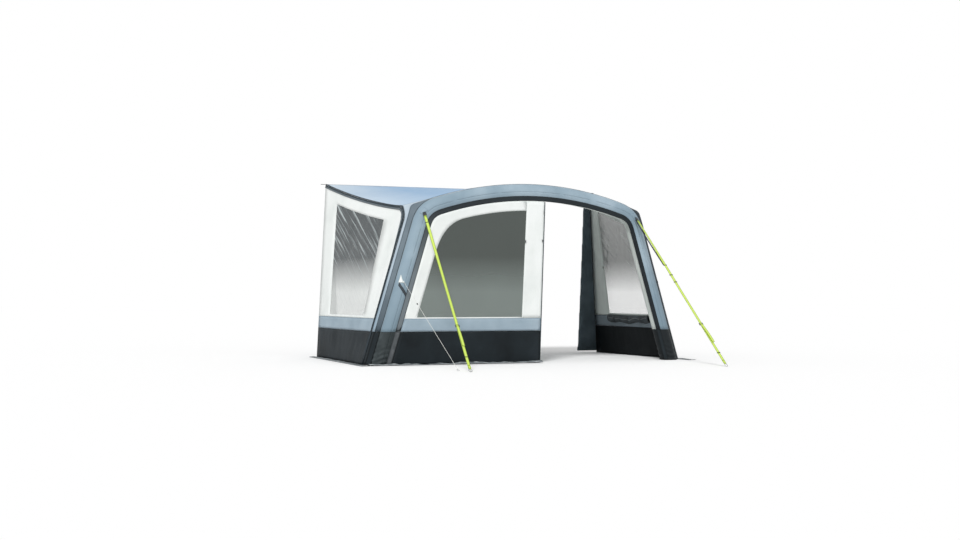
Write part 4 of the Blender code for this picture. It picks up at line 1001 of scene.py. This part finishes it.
# The roof's front edge: from the left corner to the outer trim, over the crown and down to the right corner
def roofFront():
    crown = halfBeam(0.5)[-23:]
    left = [flangeEdge(station, -1) for station in crown]
    right = [flangeEdge(station, 1) for station in reversed(crown[:-1])]
    lead = [cornerPoint(-1, 1).lerp(left[0], i / 6) for i in range(6)]
    return lead + left + right + [right[-1].lerp(cornerPoint(1, 1), i / 6) for i in range(1, 7)]


def makeRoof():
    front = roofFront()
    columns, rows = len(front) - 1, 30
    left, right = front[0], front[-1]
    half, back = awning["railHalf"], awning["railBack"]
    depth = back - cornerDepth
    shares = [(point.x - left.x) / (right.x - left.x) for point in front]
    rear = [place(lerp(-half, half, share), back, awning["railHeight"]) for share in shares]

    def pointAt(i, j):
        deep, share = lerp(0.001 / depth, 0.9997, j / rows), shares[i]
        sides = [roofEdge(cornerDepth + depth * deep, side) for side in (-1, 1)]
        ruled = front[i].lerp(rear[i], deep) + sides[0].lerp(sides[1], share)
        point = ruled - left.lerp(right, share).lerp(rear[0].lerp(rear[-1], share), deep)
        if i in (0, columns):
            point.x -= math.copysign(awning["edge"], point.x)
        return point

    makeSheet("roofPanel", columns, rows, pointAt, roofWoven, "roof_cloth", "roof_panel", trims["roofSize"],
              restsOn=[f"pole_{name}_outer_tube" for name in poles], lining=shadedRoofLining, outward=upwards,
              lift=ripples(0.007, 0.5, (0.6, 1.6, 1), seed=11))


# The cord in the roof's rear hem, and the tape that holds it
def makeRailBead():
    half = awning["railHalf"] + trims["beadOut"]

    def middleAt(j, shift=0.0):
        return place(lerp(-half, half, j / 40), awning["depth"] - 0.0035 + shift, awning["railHeight"])

    makeTube("railBead", 20, 40, trims["beadRadius"], middleAt, lambda j: (Vector((0, 1, 0)), upwards),
             pipingWoven, "trim_cloth", "rail_bead")
    makeBand("railTape", 3, 40, lambda i, j: middleAt(j, lerp(-0.0153, -0.0028, i / 3)), pipingWoven, 0.0018,
             "trim_cloth", "rail_bead")


makeTrims()
makeGussets()
makeRoof()
makeRailBead()
print("roof made")


# Side walls

walls = {"sill": 0.03, "windowTopMargin": 0.20, "windowFirst": 6, "windowLast": 10, "tapeTop": 0.023,
         "tapeFront": 0.020, "edgeTape": 0.024, "gussetTape": 0.018, "rearHem": 0.009, "piping": 0.005,
         "tapeThick": 0.0012, "edgeThick": 0.0010, "foldHeight": 0.006}
columnsAt = [i * 0.5 for i in range(12)] + [6 + i * 0.125 for i in range(33)] + [10.5, 11, 11.5, 12]


def makeWall(name, side):
    columns = len(columnsAt) - 1
    seam, bandTop, skirt = cloth["seam"], awning["bandTop"], awning["skirtHeight"]
    sill, margin = bandTop + walls["sill"], walls["windowTopMargin"]

    def wallAt(i, height):
        point = onColumn(side, columnsAt[i], height)
        point.y += {0: awning["edge"], columns: walls["rearHem"]}.get(i, 0)
        return point

    def topOf(i):
        return wallColumn(side, columnsAt[i])[1].z

    for part, low, high, rows, material, height, lining, lift in (
            ("skirt", cloth["aboveGround"], skirt - seam, 12, skirtWoven, skirt, shadedSkirtLining,
             ripples(0.006, 0.3, (1, 1, 0.5), seed=13 * side)),
            ("band", skirt + seam, bandTop - seam, 5, bandWoven, 0.16, shadedBandLining,
             ripples(0.005, 0.25, seed=15 * side))):
        makeSheet(f"wall{part.title()}_{name}", columns, rows,
                  lambda i, j: wallAt(i, lerp(low, high, j / rows)), material, f"{part}_cloth",
                  f"wall_{part}_{name}", (2.3, height), lift=lift, lining=lining, outward=across * side)

    # rows of the surround below, beside and above its window
    below, beside, above = 2, 24, 6

    def surroundAt(i, j):
        top = topOf(i)
        if j <= below:
            return wallAt(i, lerp(bandTop + seam, sill, j / below))
        if j <= below + beside:
            return wallAt(i, lerp(sill, top - margin, (j - below) / beside))
        return wallAt(i, lerp(top - margin, top - awning["edge"] * 1.15, (j - below - beside) / above))

    def inWindow(i, j):
        column = columnsAt[int(i)] + 0.01
        return walls["windowFirst"] < column < walls["windowLast"] and below < j < below + beside

    makeSheet(f"wallSurround_{name}", columns, below + beside + above, surroundAt, whiteWoven, "white_cloth",
              f"wall_surround_{name}", (2.3, 1.8), holes=inWindow, lining=shadedLiningWoven, outward=across * side,
              lift=ripples(0.003, 0.3, (1, 1, 0.5), seed=17 * side))

    def windowAt(i, j):
        column = columnsAt.index(walls["windowFirst"]) + i
        return wallAt(column, lerp(sill + 0.0004, topOf(column) - margin - 0.0004, j / 30))

    def filmFolds(point):
        slant = point.y * 1.4 + point.z * 0.75
        return walls["foldHeight"] * noise.noise(Vector((slant * 9, point.z * 0.9, side * 4.0)))

    evenNormals(makeSheet(
        f"wallWindow_{name}", 32, 30, windowAt, leftFilm if side < 0 else rightFilm, "clear_film",
        f"wall_window_{name}", (1.33, 1.5), thickness=cloth["film"], lift=filmFolds))
    makeEdges(name, side)


# The piping on the wall's front and top edge, the dark tape on the wall's outer face beside it, a grey tape
# beyond that one, partly a drip edge and partly painted shade under the edge, and a dark tape on the gusset and
# roof side
def makeEdges(name, side):
    foot = wallFront(legStation(cloth["floorGap"]), side)
    edge = [foot.lerp(cornerPoint(side, 0), i / 12) for i in range(12)]
    edge += [cornerPoint(side, i / 10) for i in range(11)]
    edge += [roofEdge(lerp(cornerDepth, awning["railBack"] - 0.005, i / 16), side) for i in range(1, 17)]
    last = len(edge) - 1
    cornerAt, cornerEnd = 12, 22

    def alongAt(j):
        return edge[min(j + 1, last)] - edge[max(j - 1, 0)]

    makeTube(f"wallPiping_{name}", 12, last, walls["piping"], lambda j: edge[j],
             lambda j: squareTo(alongAt(j), across), pipingWoven, "trim_cloth", f"wall_piping_{name}")

    def towardsGusset(j):
        if j < cornerAt:
            return flangeEdge(legStation(edge[j].z), side) - edge[j]
        if j <= cornerEnd:
            return flangeEdge(bendStation((j - cornerAt) / 10), side) - edge[j]
        return Vector((-side, 0, 0.05))

    def towardsWall(j):
        if j < cornerAt:
            return onColumn(side, 0.8, max(edge[j].z, 0.01)) - edge[j]
        if j <= cornerEnd:
            return onColumn(side, (j - cornerAt) / 2 + 0.8, edge[j].z - 0.06) - edge[j]
        return groundPoint(edge[j].y - awning["beamY"], side) - edge[j]

    def beside(j):
        return 0.0055

    def darkEdge(j):
        return lerp(walls["tapeFront"], walls["tapeTop"], eased((j - 11) / 9))

    def greyEdge(j):
        return darkEdge(j) + 0.0005 + walls["edgeTape"] * eased((j - 8) / 6)

    def frontEdge(j):
        return 0.006 + walls["gussetTape"] * (1 - 0.9 * eased((j - 20) / 5))

    wallFacing, gussetFacing = across * side, Vector((side * 0.5, -0.5, 0.7))
    for part, low, high, proud, towards, facing, material, thickness in (
            ("wallBinding", beside, darkEdge, 0.0034, towardsWall, wallFacing, pipingWoven, walls["tapeThick"]),
            ("wallEdgeTape", darkEdge, greyEdge, 0.0046, towardsWall, wallFacing, edgeWoven, walls["edgeThick"]),
            ("gussetBinding", beside, frontEdge, 0.0042, towardsGusset, gussetFacing, pipingWoven,
             walls["tapeThick"])):

        def tapeAt(i, j):
            along = alongAt(j).normalized()
            inwards = towards(j)
            inwards = (inwards - along * inwards.dot(along)).normalized()
            out = along.cross(inwards).normalized()
            if out.dot(facing) < 0:
                out.negate()
            return edge[j] + inwards * lerp(low(j), high(j), i / 3) + out * (proud + 0.0024 * i / 3)

        makeBand(f"{part}_{name}", 3, last, tapeAt, material, thickness, "trim_cloth")


for name, side in hands:
    makeWall(name, side)
print("walls made")


# Front panel

front = {"sill": 0.585, "uprightTop": (-0.092, 0.157), "uprightTopHeight": (2.06307, 2.06136),
         "uprightFoot": (-0.188, 0.084), "zipWidth": 0.012, "zipThick": 0.0013, "zipTop": 2.0565,
         "coil": 0.0013, "coilOut": 0.0104, "coilBack": 0.0022}
panelY = awning["beamY"] - awning["panelForward"]


# The upright's left edge is 0 and its right one 1
def uprightEdge(hand, height):
    share = height / front["uprightTopHeight"][hand]
    return Vector((lerp(front["uprightFoot"][hand], front["uprightTop"][hand], share), panelY, height))


def cutAtUpright(line):
    made = [line[0]]
    for a, b in zip(line, line[1:]):
        behind, ahead = [point.x - uprightEdge(0, point.z).x for point in (a, b)]
        if behind < 0 <= ahead:
            return made + [a.lerp(b, -behind / (ahead - behind))]
        made.append(b)
    return made


# The window's line has a wider bend at its upper corner than the beam has
def windowLine(low):
    level = awning["shoulderHeight"] - awning["windowBendDrop"]
    turn = crownTurn - awning["windowBendReach"] / crownRadius
    last = crownStation(turn)
    start, end = windowEdge(legStation(level), 1), windowEdge(last, 1)
    line = [windowEdge(station, -1) for station in legStations(low, level, 18)[:-1]]
    for share in [i / 10 for i in range(11)]:
        a, b = roundedCorner((start.x, start.z), (end.x, end.z), last.up, share)
        line.append(Vector((-lerp(a[0], b[0], share), panelY, lerp(a[1], b[1], share))))
    return cutAtUpright(line + [windowEdge(crownStation(turn * (1 - i / 22)), -1) for i in range(1, 23)])


def makeFrontFilm(rim):
    bm = bmesh.new()
    bm.faces.new([bm.verts.new(point) for point in [uprightEdge(0, front["sill"]), *rim]])
    for normal, low, high in ((across, -1.9, 0.0), (upwards, 0.6, 2.1)):
        for step in range(30):
            spot = Vector((0, panelY, 0)) + normal * lerp(low, high, step / 29)
            bmesh.ops.bisect_plane(bm, geom=bm.verts[:] + bm.edges[:] + bm.faces[:], plane_co=spot,
                                   plane_no=normal)
    mapFlat(bm)
    area = areaOf(bm)
    film = newObject("frontWindow", bm, frontFilm, cloth["film"])
    evenNormals(film)
    finish(film, "clear_film", "front_window")


def makeFrontPanel():
    bandTop, sill, seam, skirt = awning["bandTop"], front["sill"], cloth["seam"], awning["skirtHeight"]
    lines = [cutAtUpright([trimEdge(station, -1) for station in halfBeam(bandTop, legSteps=18)]),
             windowLine(sill)]
    count = min(len(line) for line in lines) - 1
    for k, level in enumerate((bandTop, sill)):
        line = lines[k][:count] + lines[k][-1:]
        lines[k] = [uprightEdge(0, level).lerp(line[0], i / 14) for i in range(14)] + line
    outer, inner = lines
    makeSheet("frontSurround", len(outer) - 1, 5, lambda i, j: outer[i].lerp(inner[i], lerp(0.003, 1, j / 5)),
              whiteWoven, "white_cloth", "front_surround", (0.2, 4.2), lift=ripples(0.003, 0.2, seed=21))
    makeFrontFilm(inner[13:])

    topLine = [trimEdge(crownStation(crownTurn * abs(i) / 40), 1 if i > 0 else -1) for i in range(-12, 14)]

    def topAt(share):
        x = lerp(*front["uprightTop"], share)
        for a, b in zip(topLine, topLine[1:]):
            if a.x <= x <= b.x:
                return a.lerp(b, (x - a.x) / (b.x - a.x))

    def uprightAt(i, j):
        low = uprightEdge(0, bandTop + seam).lerp(uprightEdge(1, bandTop + seam), i / 10)
        return low.lerp(topAt(i / 10), j / 30 * 0.999)

    makeSheet("frontUpright", 10, 30, uprightAt, whiteWoven, "white_cloth", "front_mullion", (0.27, 1.5),
              lift=ripples(0.008, 0.25, (1.6, 1, 0.6), seed=23))
    for part, low, high, rows, material, height, lift in (
            ("band", skirt + seam, bandTop - seam, 6, bandWoven, 0.16, ripples(0.008, 0.22, seed=25)),
            ("skirt", cloth["aboveGround"], skirt - seam, 14, skirtWoven, skirt,
             ripples(0.008, 0.3, (1, 1, 0.5), seed=27))):

        def stripAt(i, j):
            z = lerp(low, high, j / rows)
            return trimEdge(legStation(z), -1).lerp(uprightEdge(1, z), i / 40)

        makeSheet(f"front{part.title()}", 40, rows, stripAt, material, f"{part}_cloth", f"front_{part}",
                  (1.95, height), lift=lift)


# The zip that the other half of the front closes on: its tape, with the coil on the inner face
def makeZip():
    def tapeAt(i, j):
        edge = uprightEdge(1, lerp(0.0026, front["zipTop"], j / 60))
        return edge + across * lerp(0.0004, front["zipWidth"], i / 3)

    def coilAt(j):
        middle = uprightEdge(1, lerp(0.006, front["zipTop"] - 0.004, j / 60))
        return middle + Vector((front["coilOut"], front["coilBack"], 0))

    makeBand("zipTape", 3, 60, tapeAt, pipingWoven, front["zipThick"], "black_plastic", "zip_tape")
    makeTube("zipCoil", 8, 60, front["coil"], coilAt, lambda j: (across, Vector((0, 1, 0))), zipCoil,
             "black_plastic", "zip_tape")


makeFrontPanel()
makeZip()
print("front panel made")


# Toggles, patches and tabs that are sewn on

sewn = {"toggle": (0.005, 0.034), "front": ((0.150, 1.916), (0.1245, 1.556), (-0.1135, 1.546)),
        "wallHeight": 1.27, "beside": 0.12, "loopWire": 0.0012, "tieWire": 0.0022,
        "tieShares": (0.18, 0.5, 0.82), "strapBend": 0.4, "strapTurn": 1.25 * math.tau / 16,
        "strapSpread": (0.30, 0.13), "patchThick": 0.0014, "lightThick": 0.0012, "tabThick": 0.0016,
        "tab": ((0, 0.0022), (0.012, 0.0026), (0.022, 0.0030), (0.027, 0.0016)), "tabHeight": 1.045}


# A short moulded bar on an elastic loop
def addToggle(bm, spot, along, off):
    radius, length = sewn["toggle"]
    turn = standing(spot, along, off)
    rod = bmesh.ops.create_cone(bm, cap_ends=True, segments=14, radius1=radius, radius2=radius, depth=length,
                                matrix=turn @ Matrix.Translation((0.0085, 0, 0)))["verts"]
    ends = [edge for edge in {edge for vert in rod for edge in vert.link_edges}
            if len(edge.link_faces) == 2 and edge.calc_face_angle(0) > 1]
    bmesh.ops.bevel(bm, geom=ends, offset=0.0014, segments=3, profile=0.5, affect="EDGES", material=-1)
    addWire(bm, sewn["loopWire"], [turn @ spot for spot in roundPoints(16, 0.0062, 0.0058, shift=0.0062)])


def makeToggles():
    for k, (x, z) in enumerate(sewn["front"]):
        bm = bmesh.new()
        addToggle(bm, Vector((x, panelY - 0.004, z)), uprightEdge(1, z + 0.1) - uprightEdge(1, z),
                  Vector((0, -1, 0)))
        makeHard(f"panelToggle_{k}", bm, blackMoulded, "black_plastic")
    for name, side in hands:
        bm = bmesh.new()
        for column, shift in ((walls["windowFirst"], -sewn["beside"]), (walls["windowLast"], sewn["beside"])):
            spot = onColumn(side, column + shift, sewn["wallHeight"]) - across * (side * 0.004)
            addToggle(bm, spot, onColumn(side, column, 1.4) - onColumn(side, column, 1.2), -across * side)
        makeHard(f"wallToggles_{name}", bm, blackMoulded, "black_plastic")


# A patch that lies on the sleeve. spotAt gives its turn round the sleeve, its station and its side.
def sleevePatch(name, columns, rows, spotAt, material, thickness, slotName, proud, hemAt=None):
    def pointAt(i, j):
        turn, station, side = spotAt(i / columns, j / rows)
        return sleevePoint(station, side, turn, sleeveRadiusAt(turn, station, side) + proud)

    makeBand(name, columns, rows, pointAt, material, thickness, slotName, hemAt=hemAt)


def makePatches():
    # the white gusset that spreads the guy line's pull, and a dark band that runs on to the inner trim: painted
    # shadow of the tab and rope on the sleeve
    sleevePatch("guyPatch", 10, 8, lambda a, b: (lerp(lerp(0.24, 0.84, a), 0.80, b * 0.94),
                                                 legStation(1.014 + 0.095 * b), -1),
                whiteWoven, sewn["patchThick"], "white_cloth", 0.0022)
    sleevePatch("guyTabShadow", 4, 14, lambda a, b: (lerp(0.74, -0.62, b),
                                                legStation(lerp(1.000, 0.845, b) + 0.040 * (a - 0.5)), -1),
                darkWebbing, sewn["patchThick"], "trim_cloth", 0.0030)
    for name, side in hands:
        wide, tall = sewn["strapSpread"]
        sleevePatch(f"strapPatch_{name}", 6, 6, lambda a, b: (
            sewn["strapTurn"] + lerp(-wide, wide, a), bendStation(sewn["strapBend"] + lerp(-tall, tall, b)), side),
            sleeveWoven, sewn["lightThick"], "sleeve_cloth", 0.0018, hemAt=lambda i, j: 0.1)
    # a spare tab on the right leg
    legAlong = Vector((legUp[0], 0, legUp[1]))
    station = legStation(sewn["tabHeight"])
    root = sleevePoint(station, 1, 1.30, awning["sleeveRadius"] + 0.002)
    out = (root - station.at(0, 0, 1)).normalized()
    thin = out.cross(legAlong).normalized()
    fold = [*sewn["tab"], (0.0275, 0), *[(far, -near) for far, near in reversed(sewn["tab"])]]
    makeBand("spareTab", 4, len(fold) - 1, lambda i, j: root + out * fold[j][0] + thin * fold[j][1]
             + legAlong * (0.0125 * (i / 2 - 1)), darkWebbing, sewn["tabThick"], "trim_cloth")


makeToggles()
makePatches()
print("toggles and patches made")


# Mud flaps, rolled blinds and seal pads

flaps = {"columns": 8, "rows": 90, "reach": 0.22, "gussetEnd": 0.14, "wide": 0.115, "above": 0.001,
         "wallRumple": 0.016, "frontRumple": 0.036, "offWall": 0.0053, "underWall": -0.010}
blinds = {"steps": 64, "sides": 20, "tall": 0.05, "thick": 0.025, "gather": 0.12, "sag": 0.02, "below": 0.012,
          "crease": 0.0025, "curl": 0.06, "fill": 0.4}
pads = {"voxel": 0.012, "pressure": 4.0, "frames": 20, "cap": 0.009, "start": 0.003, "widthHeld": 0.2,
        "foot": 1.8451, "head": 1.9512, "height": 2.3, "layer": 0.024, "fill": 0.8}


def rumpled(point, wide, height):
    wave = noise.noise(Vector((point.x * 5, point.y * 5, 0.4)))
    wave += 0.5 * noise.noise(Vector((point.x * 13, point.y * 13, 2)))
    point.z += height * (0.5 + 0.5 * wave) * math.sin(math.pi * min(1, wide * 0.85))
    return point


def makeFlap(name, pointAt, height, node, flat):
    def rumpledAt(i, j):
        wide = i / flaps["columns"]
        return rumpled(pointAt(wide, j / flaps["rows"]), wide, height)

    makeSheet(f"mudFlap_{name}", flaps["columns"], flaps["rows"], rumpledAt, flapWoven, "skirt_cloth", node,
              flat, held="laid")


def makeFlaps():
    start, rear, above = flaps["gussetEnd"], awning["railBack"], flaps["above"]
    for name, side in hands:
        frontX = wallFront(legStation(0), side).x

        def wallFlapAt(wide, long):
            back = lerp(-flaps["reach"], rear, long)
            line = lerp(frontX, side * awning["rearFootHalf"], max(0, (back - start) / (rear - start)))
            inner = line + side * flaps["offWall" if back < start else "underWall"]
            return place(lerp(inner, line + side * flaps["wide"], wide), back, above)

        makeFlap(name, wallFlapAt, flaps["wallRumple"], f"mud_flap_{name}", (0.13, 2.7))
    toe = trimEdge(legStation(0), -1).x
    frontX = wallFront(legStation(0), -1).x - 0.005

    def frontFlapAt(wide, long):
        x = lerp(frontX, front["uprightFoot"][1], long)
        inner = 0.010 - awning["panelForward"] if x > toe else -awning["sleeveRadius"] - 0.0003
        return place(x, lerp(inner, 0.002 - flaps["reach"], wide), above)

    makeFlap("front", frontFlapAt, flaps["frontRumple"], "front_mud_flap", (0.15, 2.4))


def makeBlind(name, side):
    steps, sides = blinds["steps"], blinds["sides"]
    low, high = [[onColumn(side, 6 + 4 * i / steps, level) for i in range(steps + 1)]
                 for level in (awning["bandTop"], awning["bandTop"] + walls["sill"])]
    inwards = (high[0] - low[0]).cross(high[-1] - high[0]).normalized()
    if inwards.x * side > 0:
        inwards.negate()

    # a place on the roll, which is gathered by its ties and sags between its ends
    def rollAt(share, turn, proud=0.0, curl=0.0, crease=0.0):
        edge, foot = alongList(high, share * steps), alongList(low, share * steps)
        down = (foot - edge).normalized()
        fold = blinds["gather"] * math.sin(5 * math.pi * share)
        tall, thick = blinds["tall"] * (1 + fold), blinds["thick"] * (1 - fold)
        sunk = blinds["below"] + tall + blinds["sag"] * math.sin(math.pi * share)
        roll = 1 - curl + crease / thick
        return (edge + down * (sunk + (tall * roll + proud) * math.cos(turn))
                + inwards * (0.002 + thick + (thick * roll + proud) * math.sin(turn)))

    def outerAt(i, j):
        # its outer layer ends in a lip that spirals out a little, and each layer creases
        turn, share = math.tau * i / sides, j / steps
        crease = blinds["crease"] * noise.noise(Vector((turn * 2, share * 22, side)))
        return rollAt(share, turn, curl=blinds["curl"] * turn / math.tau, crease=crease)

    bm = clothGrid(sides, steps, outerAt)
    bmesh.ops.remove_doubles(bm, verts=bm.verts, dist=0.0012)
    bmesh.ops.holes_fill(bm, edges=bm.edges, sides=sides + 3)
    bmesh.ops.recalc_face_normals(bm, faces=bm.faces)
    piece = newObject(f"blindRoll_{name}", bm, blindWoven)
    finish(piece, "skirt_cloth", f"blind_roll_{name}")

    # the pale edge of the blind shows as a wavy line along the roll
    def edgeAt(i, j):
        share = lerp(0.03, 0.97, j / 160)
        turn = 1.75 + 0.55 * noise.noise(Vector((share * 7, side, 0.3))) + lerp(-0.09, 0.09, i / 3)
        return rollAt(share, turn, 0.0014)

    makeBand(f"blindEdge_{name}", 3, 160, edgeAt, blindEdgeWoven, sewn["lightThick"], "white_cloth")
    bm = bmesh.new()
    for share in sewn["tieShares"]:
        tie = [rollAt(share, math.radians(8 + 164 * i / 18), 0.0032) for i in range(19)]
        addWire(bm, sewn["tieWire"], tie, looped=False)
        addToggle(bm, rollAt(share, 1.9, 0.004), high[-1] - high[0], inwards)
    makeHard(f"blindTies_{name}", bm, blackMoulded, "black_plastic")


# The pad is swelled by simulated pressure. Its rear face stays flat, as it is pressed against a wall.
def swell(piece, rear):
    before = [vert.co.copy() for vert in piece.data.vertices]
    made = piece.modifiers.new("cloth", "CLOTH")
    made.settings.use_pressure = True
    made.settings.uniform_pressure_force = pads["pressure"]
    made.settings.effector_weights.gravity = 0
    made.point_cache.frame_start = 1
    made.point_cache.frame_end = pads["frames"]
    for step in range(1, pads["frames"] + 1):
        bpy.context.scene.frame_set(step)
    moved = piece.evaluated_get(bpy.context.evaluated_depsgraph_get()).data
    after = [vert.co.copy() for vert in moved.vertices]
    piece.modifiers.remove(made)
    bpy.context.scene.frame_set(1)
    for vert, old, new in zip(piece.data.vertices, before, after):
        move = new - old
        move.x *= pads["widthHeld"]
        if move.length > pads["cap"]:
            move *= pads["cap"] / move.length
        vert.co = old + move
        vert.co.y = min(vert.co.y, rear)
        vert.co.z = max(vert.co.z, 0.002)


def swelledPad():
    bm = bmesh.new()
    bm.from_mesh(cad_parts["seal_pad_left"].data)
    bmesh.ops.remove_doubles(bm, verts=bm.verts, dist=0.0001)
    bmesh.ops.dissolve_limit(bm, angle_limit=0.01, verts=bm.verts, edges=bm.edges)
    rear = max(vert.co.y for vert in bm.verts)
    for vert in bm.verts:
        if vert.co.y < rear - 0.01:
            vert.co.y += pads["start"]
    made = addObject("padStart", newMesh("padStart", bm))
    remesh = made.modifiers.new("remesh", "REMESH")
    remesh.mode = "VOXEL"
    remesh.voxel_size = pads["voxel"]
    even = bpy.data.meshes.new_from_object(made.evaluated_get(bpy.context.evaluated_depsgraph_get()))
    made.modifiers.clear()
    made.data = even
    swell(made, rear)
    return made


def makePads():
    start = swelledPad()
    for name, side in hands:
        bm = bmesh.new()
        bm.from_mesh(start.data)
        bmesh.ops.smooth_vert(bm, verts=bm.verts, factor=0.4, use_axis_x=True, use_axis_y=True, use_axis_z=True)
        edges = {}
        for vert in bm.verts:
            layer = round(vert.co.z / pads["layer"])
            edges[layer] = max(edges.get(layer, 0), -vert.co.x)
        for vert in bm.verts:
            # its outer edge is pressed against the wall's inner face
            inner = lerp(pads["foot"], pads["head"], vert.co.z / pads["height"])
            outer = edges[round(vert.co.z / pads["layer"])]
            wall = -onColumn(-1, 12, max(vert.co.z, 0.01)).x - 0.0012
            near = max(0, (-vert.co.x - inner) / (outer - inner))
            vert.co.x -= (wall - outer) * near * near
        for vert in bm.verts:
            vert.co.x *= -side
        bmesh.ops.recalc_face_normals(bm, faces=bm.faces)
        mapFlat(bm)
        piece = newObject(f"sealPad_{name}", bm, padWoven)
        fine = piece.modifiers.new("fine", "SUBSURF")
        fine.levels = fine.render_levels = 1
        finish(piece, "pad_cloth", f"seal_pad_{name}")
    bpy.data.objects.remove(start)


makeFlaps()
for name, side in hands:
    makeBlind(name, side)
makePads()
print("flaps, blinds and pads made")


# Pieces that keep their CAD shape


def dress(material, *nodes):
    for name in nodes:
        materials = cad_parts[name].data.materials
        materials.clear()
        materials.append(material)


dress(drawnTube, *[f"pole_{name}_{part}_tube" for name in poles for part in ("inner", "outer")])
dress(blackMoulded, *[f"pole_{name}_lever" for name in poles], "valve_body", "valve_cap", "zip_slider",
      "zip_pull", "foot_pad_left", "foot_pad_right")
print("carried-over nodes dressed")


# Floor, lamps and world

studio = {"floor": "#EFEFEF", "floorSize": 60, "lift": 0.09, "sun": 2.1, "sunAngle": 14, "sky": 0.60,
          "towards": (-0.42, -0.60, 0.68)}


def makeFloor():
    bm = bmesh.new()
    bmesh.ops.create_grid(bm, x_segments=1, y_segments=1, size=studio["floorSize"])
    floor = addObject("floor", newMesh("floor", bm))
    floor.location.z = -0.0005
    made, shader = newMaterial("floor paint, matt white", 0.9)
    # the camera sees the lit floor as white, and its shadows stay
    seen = addNode(made, "LightPath", out="Is Camera Ray")
    lift = addNode(made, "Math", {0: seen, 1: studio["lift"]}, operation="MULTIPLY")
    setInputs(shader, {"Base Color": linear(studio["floor"]), "Specular IOR Level": 0.0,
                       "Emission Color": (1, 1, 1, 1), "Emission Strength": lift})
    floor.data.materials.append(made)


# The sky is white to the camera, to gloss and through film, and softer as a light
def makeSky():
    world = bpy.data.worlds.new("studio")
    bpy.context.scene.world = world
    world.use_nodes = True
    world.node_tree.nodes.clear()
    paths = addNode(world, "LightPath").node.outputs
    glossy = addNode(world, "Math", {0: paths["Is Camera Ray"], 1: paths["Is Glossy Ray"]}, operation="MAXIMUM")
    seen = addNode(world, "Math", {0: glossy, 1: paths["Is Transmission Ray"]}, operation="MAXIMUM")
    level = addNode(world, "MapRange", {"Value": seen, "To Min": studio["sky"], "To Max": 1.0})
    sky = addNode(world, "Background", {"Color": (1, 1, 1, 1), "Strength": level})
    addNode(world, "OutputWorld", {"Surface": sky})


def makeSun():
    data = bpy.data.lights.new("key", "SUN")
    data.energy = studio["sun"]
    data.angle = math.radians(studio["sunAngle"])
    lamp = addObject("key", data)
    lamp.rotation_mode = "QUATERNION"
    lamp.rotation_quaternion = Vector(studio["towards"]).to_track_quat("Z", "Y")


makeFloor()
makeSky()
makeSun()
print("studio made")
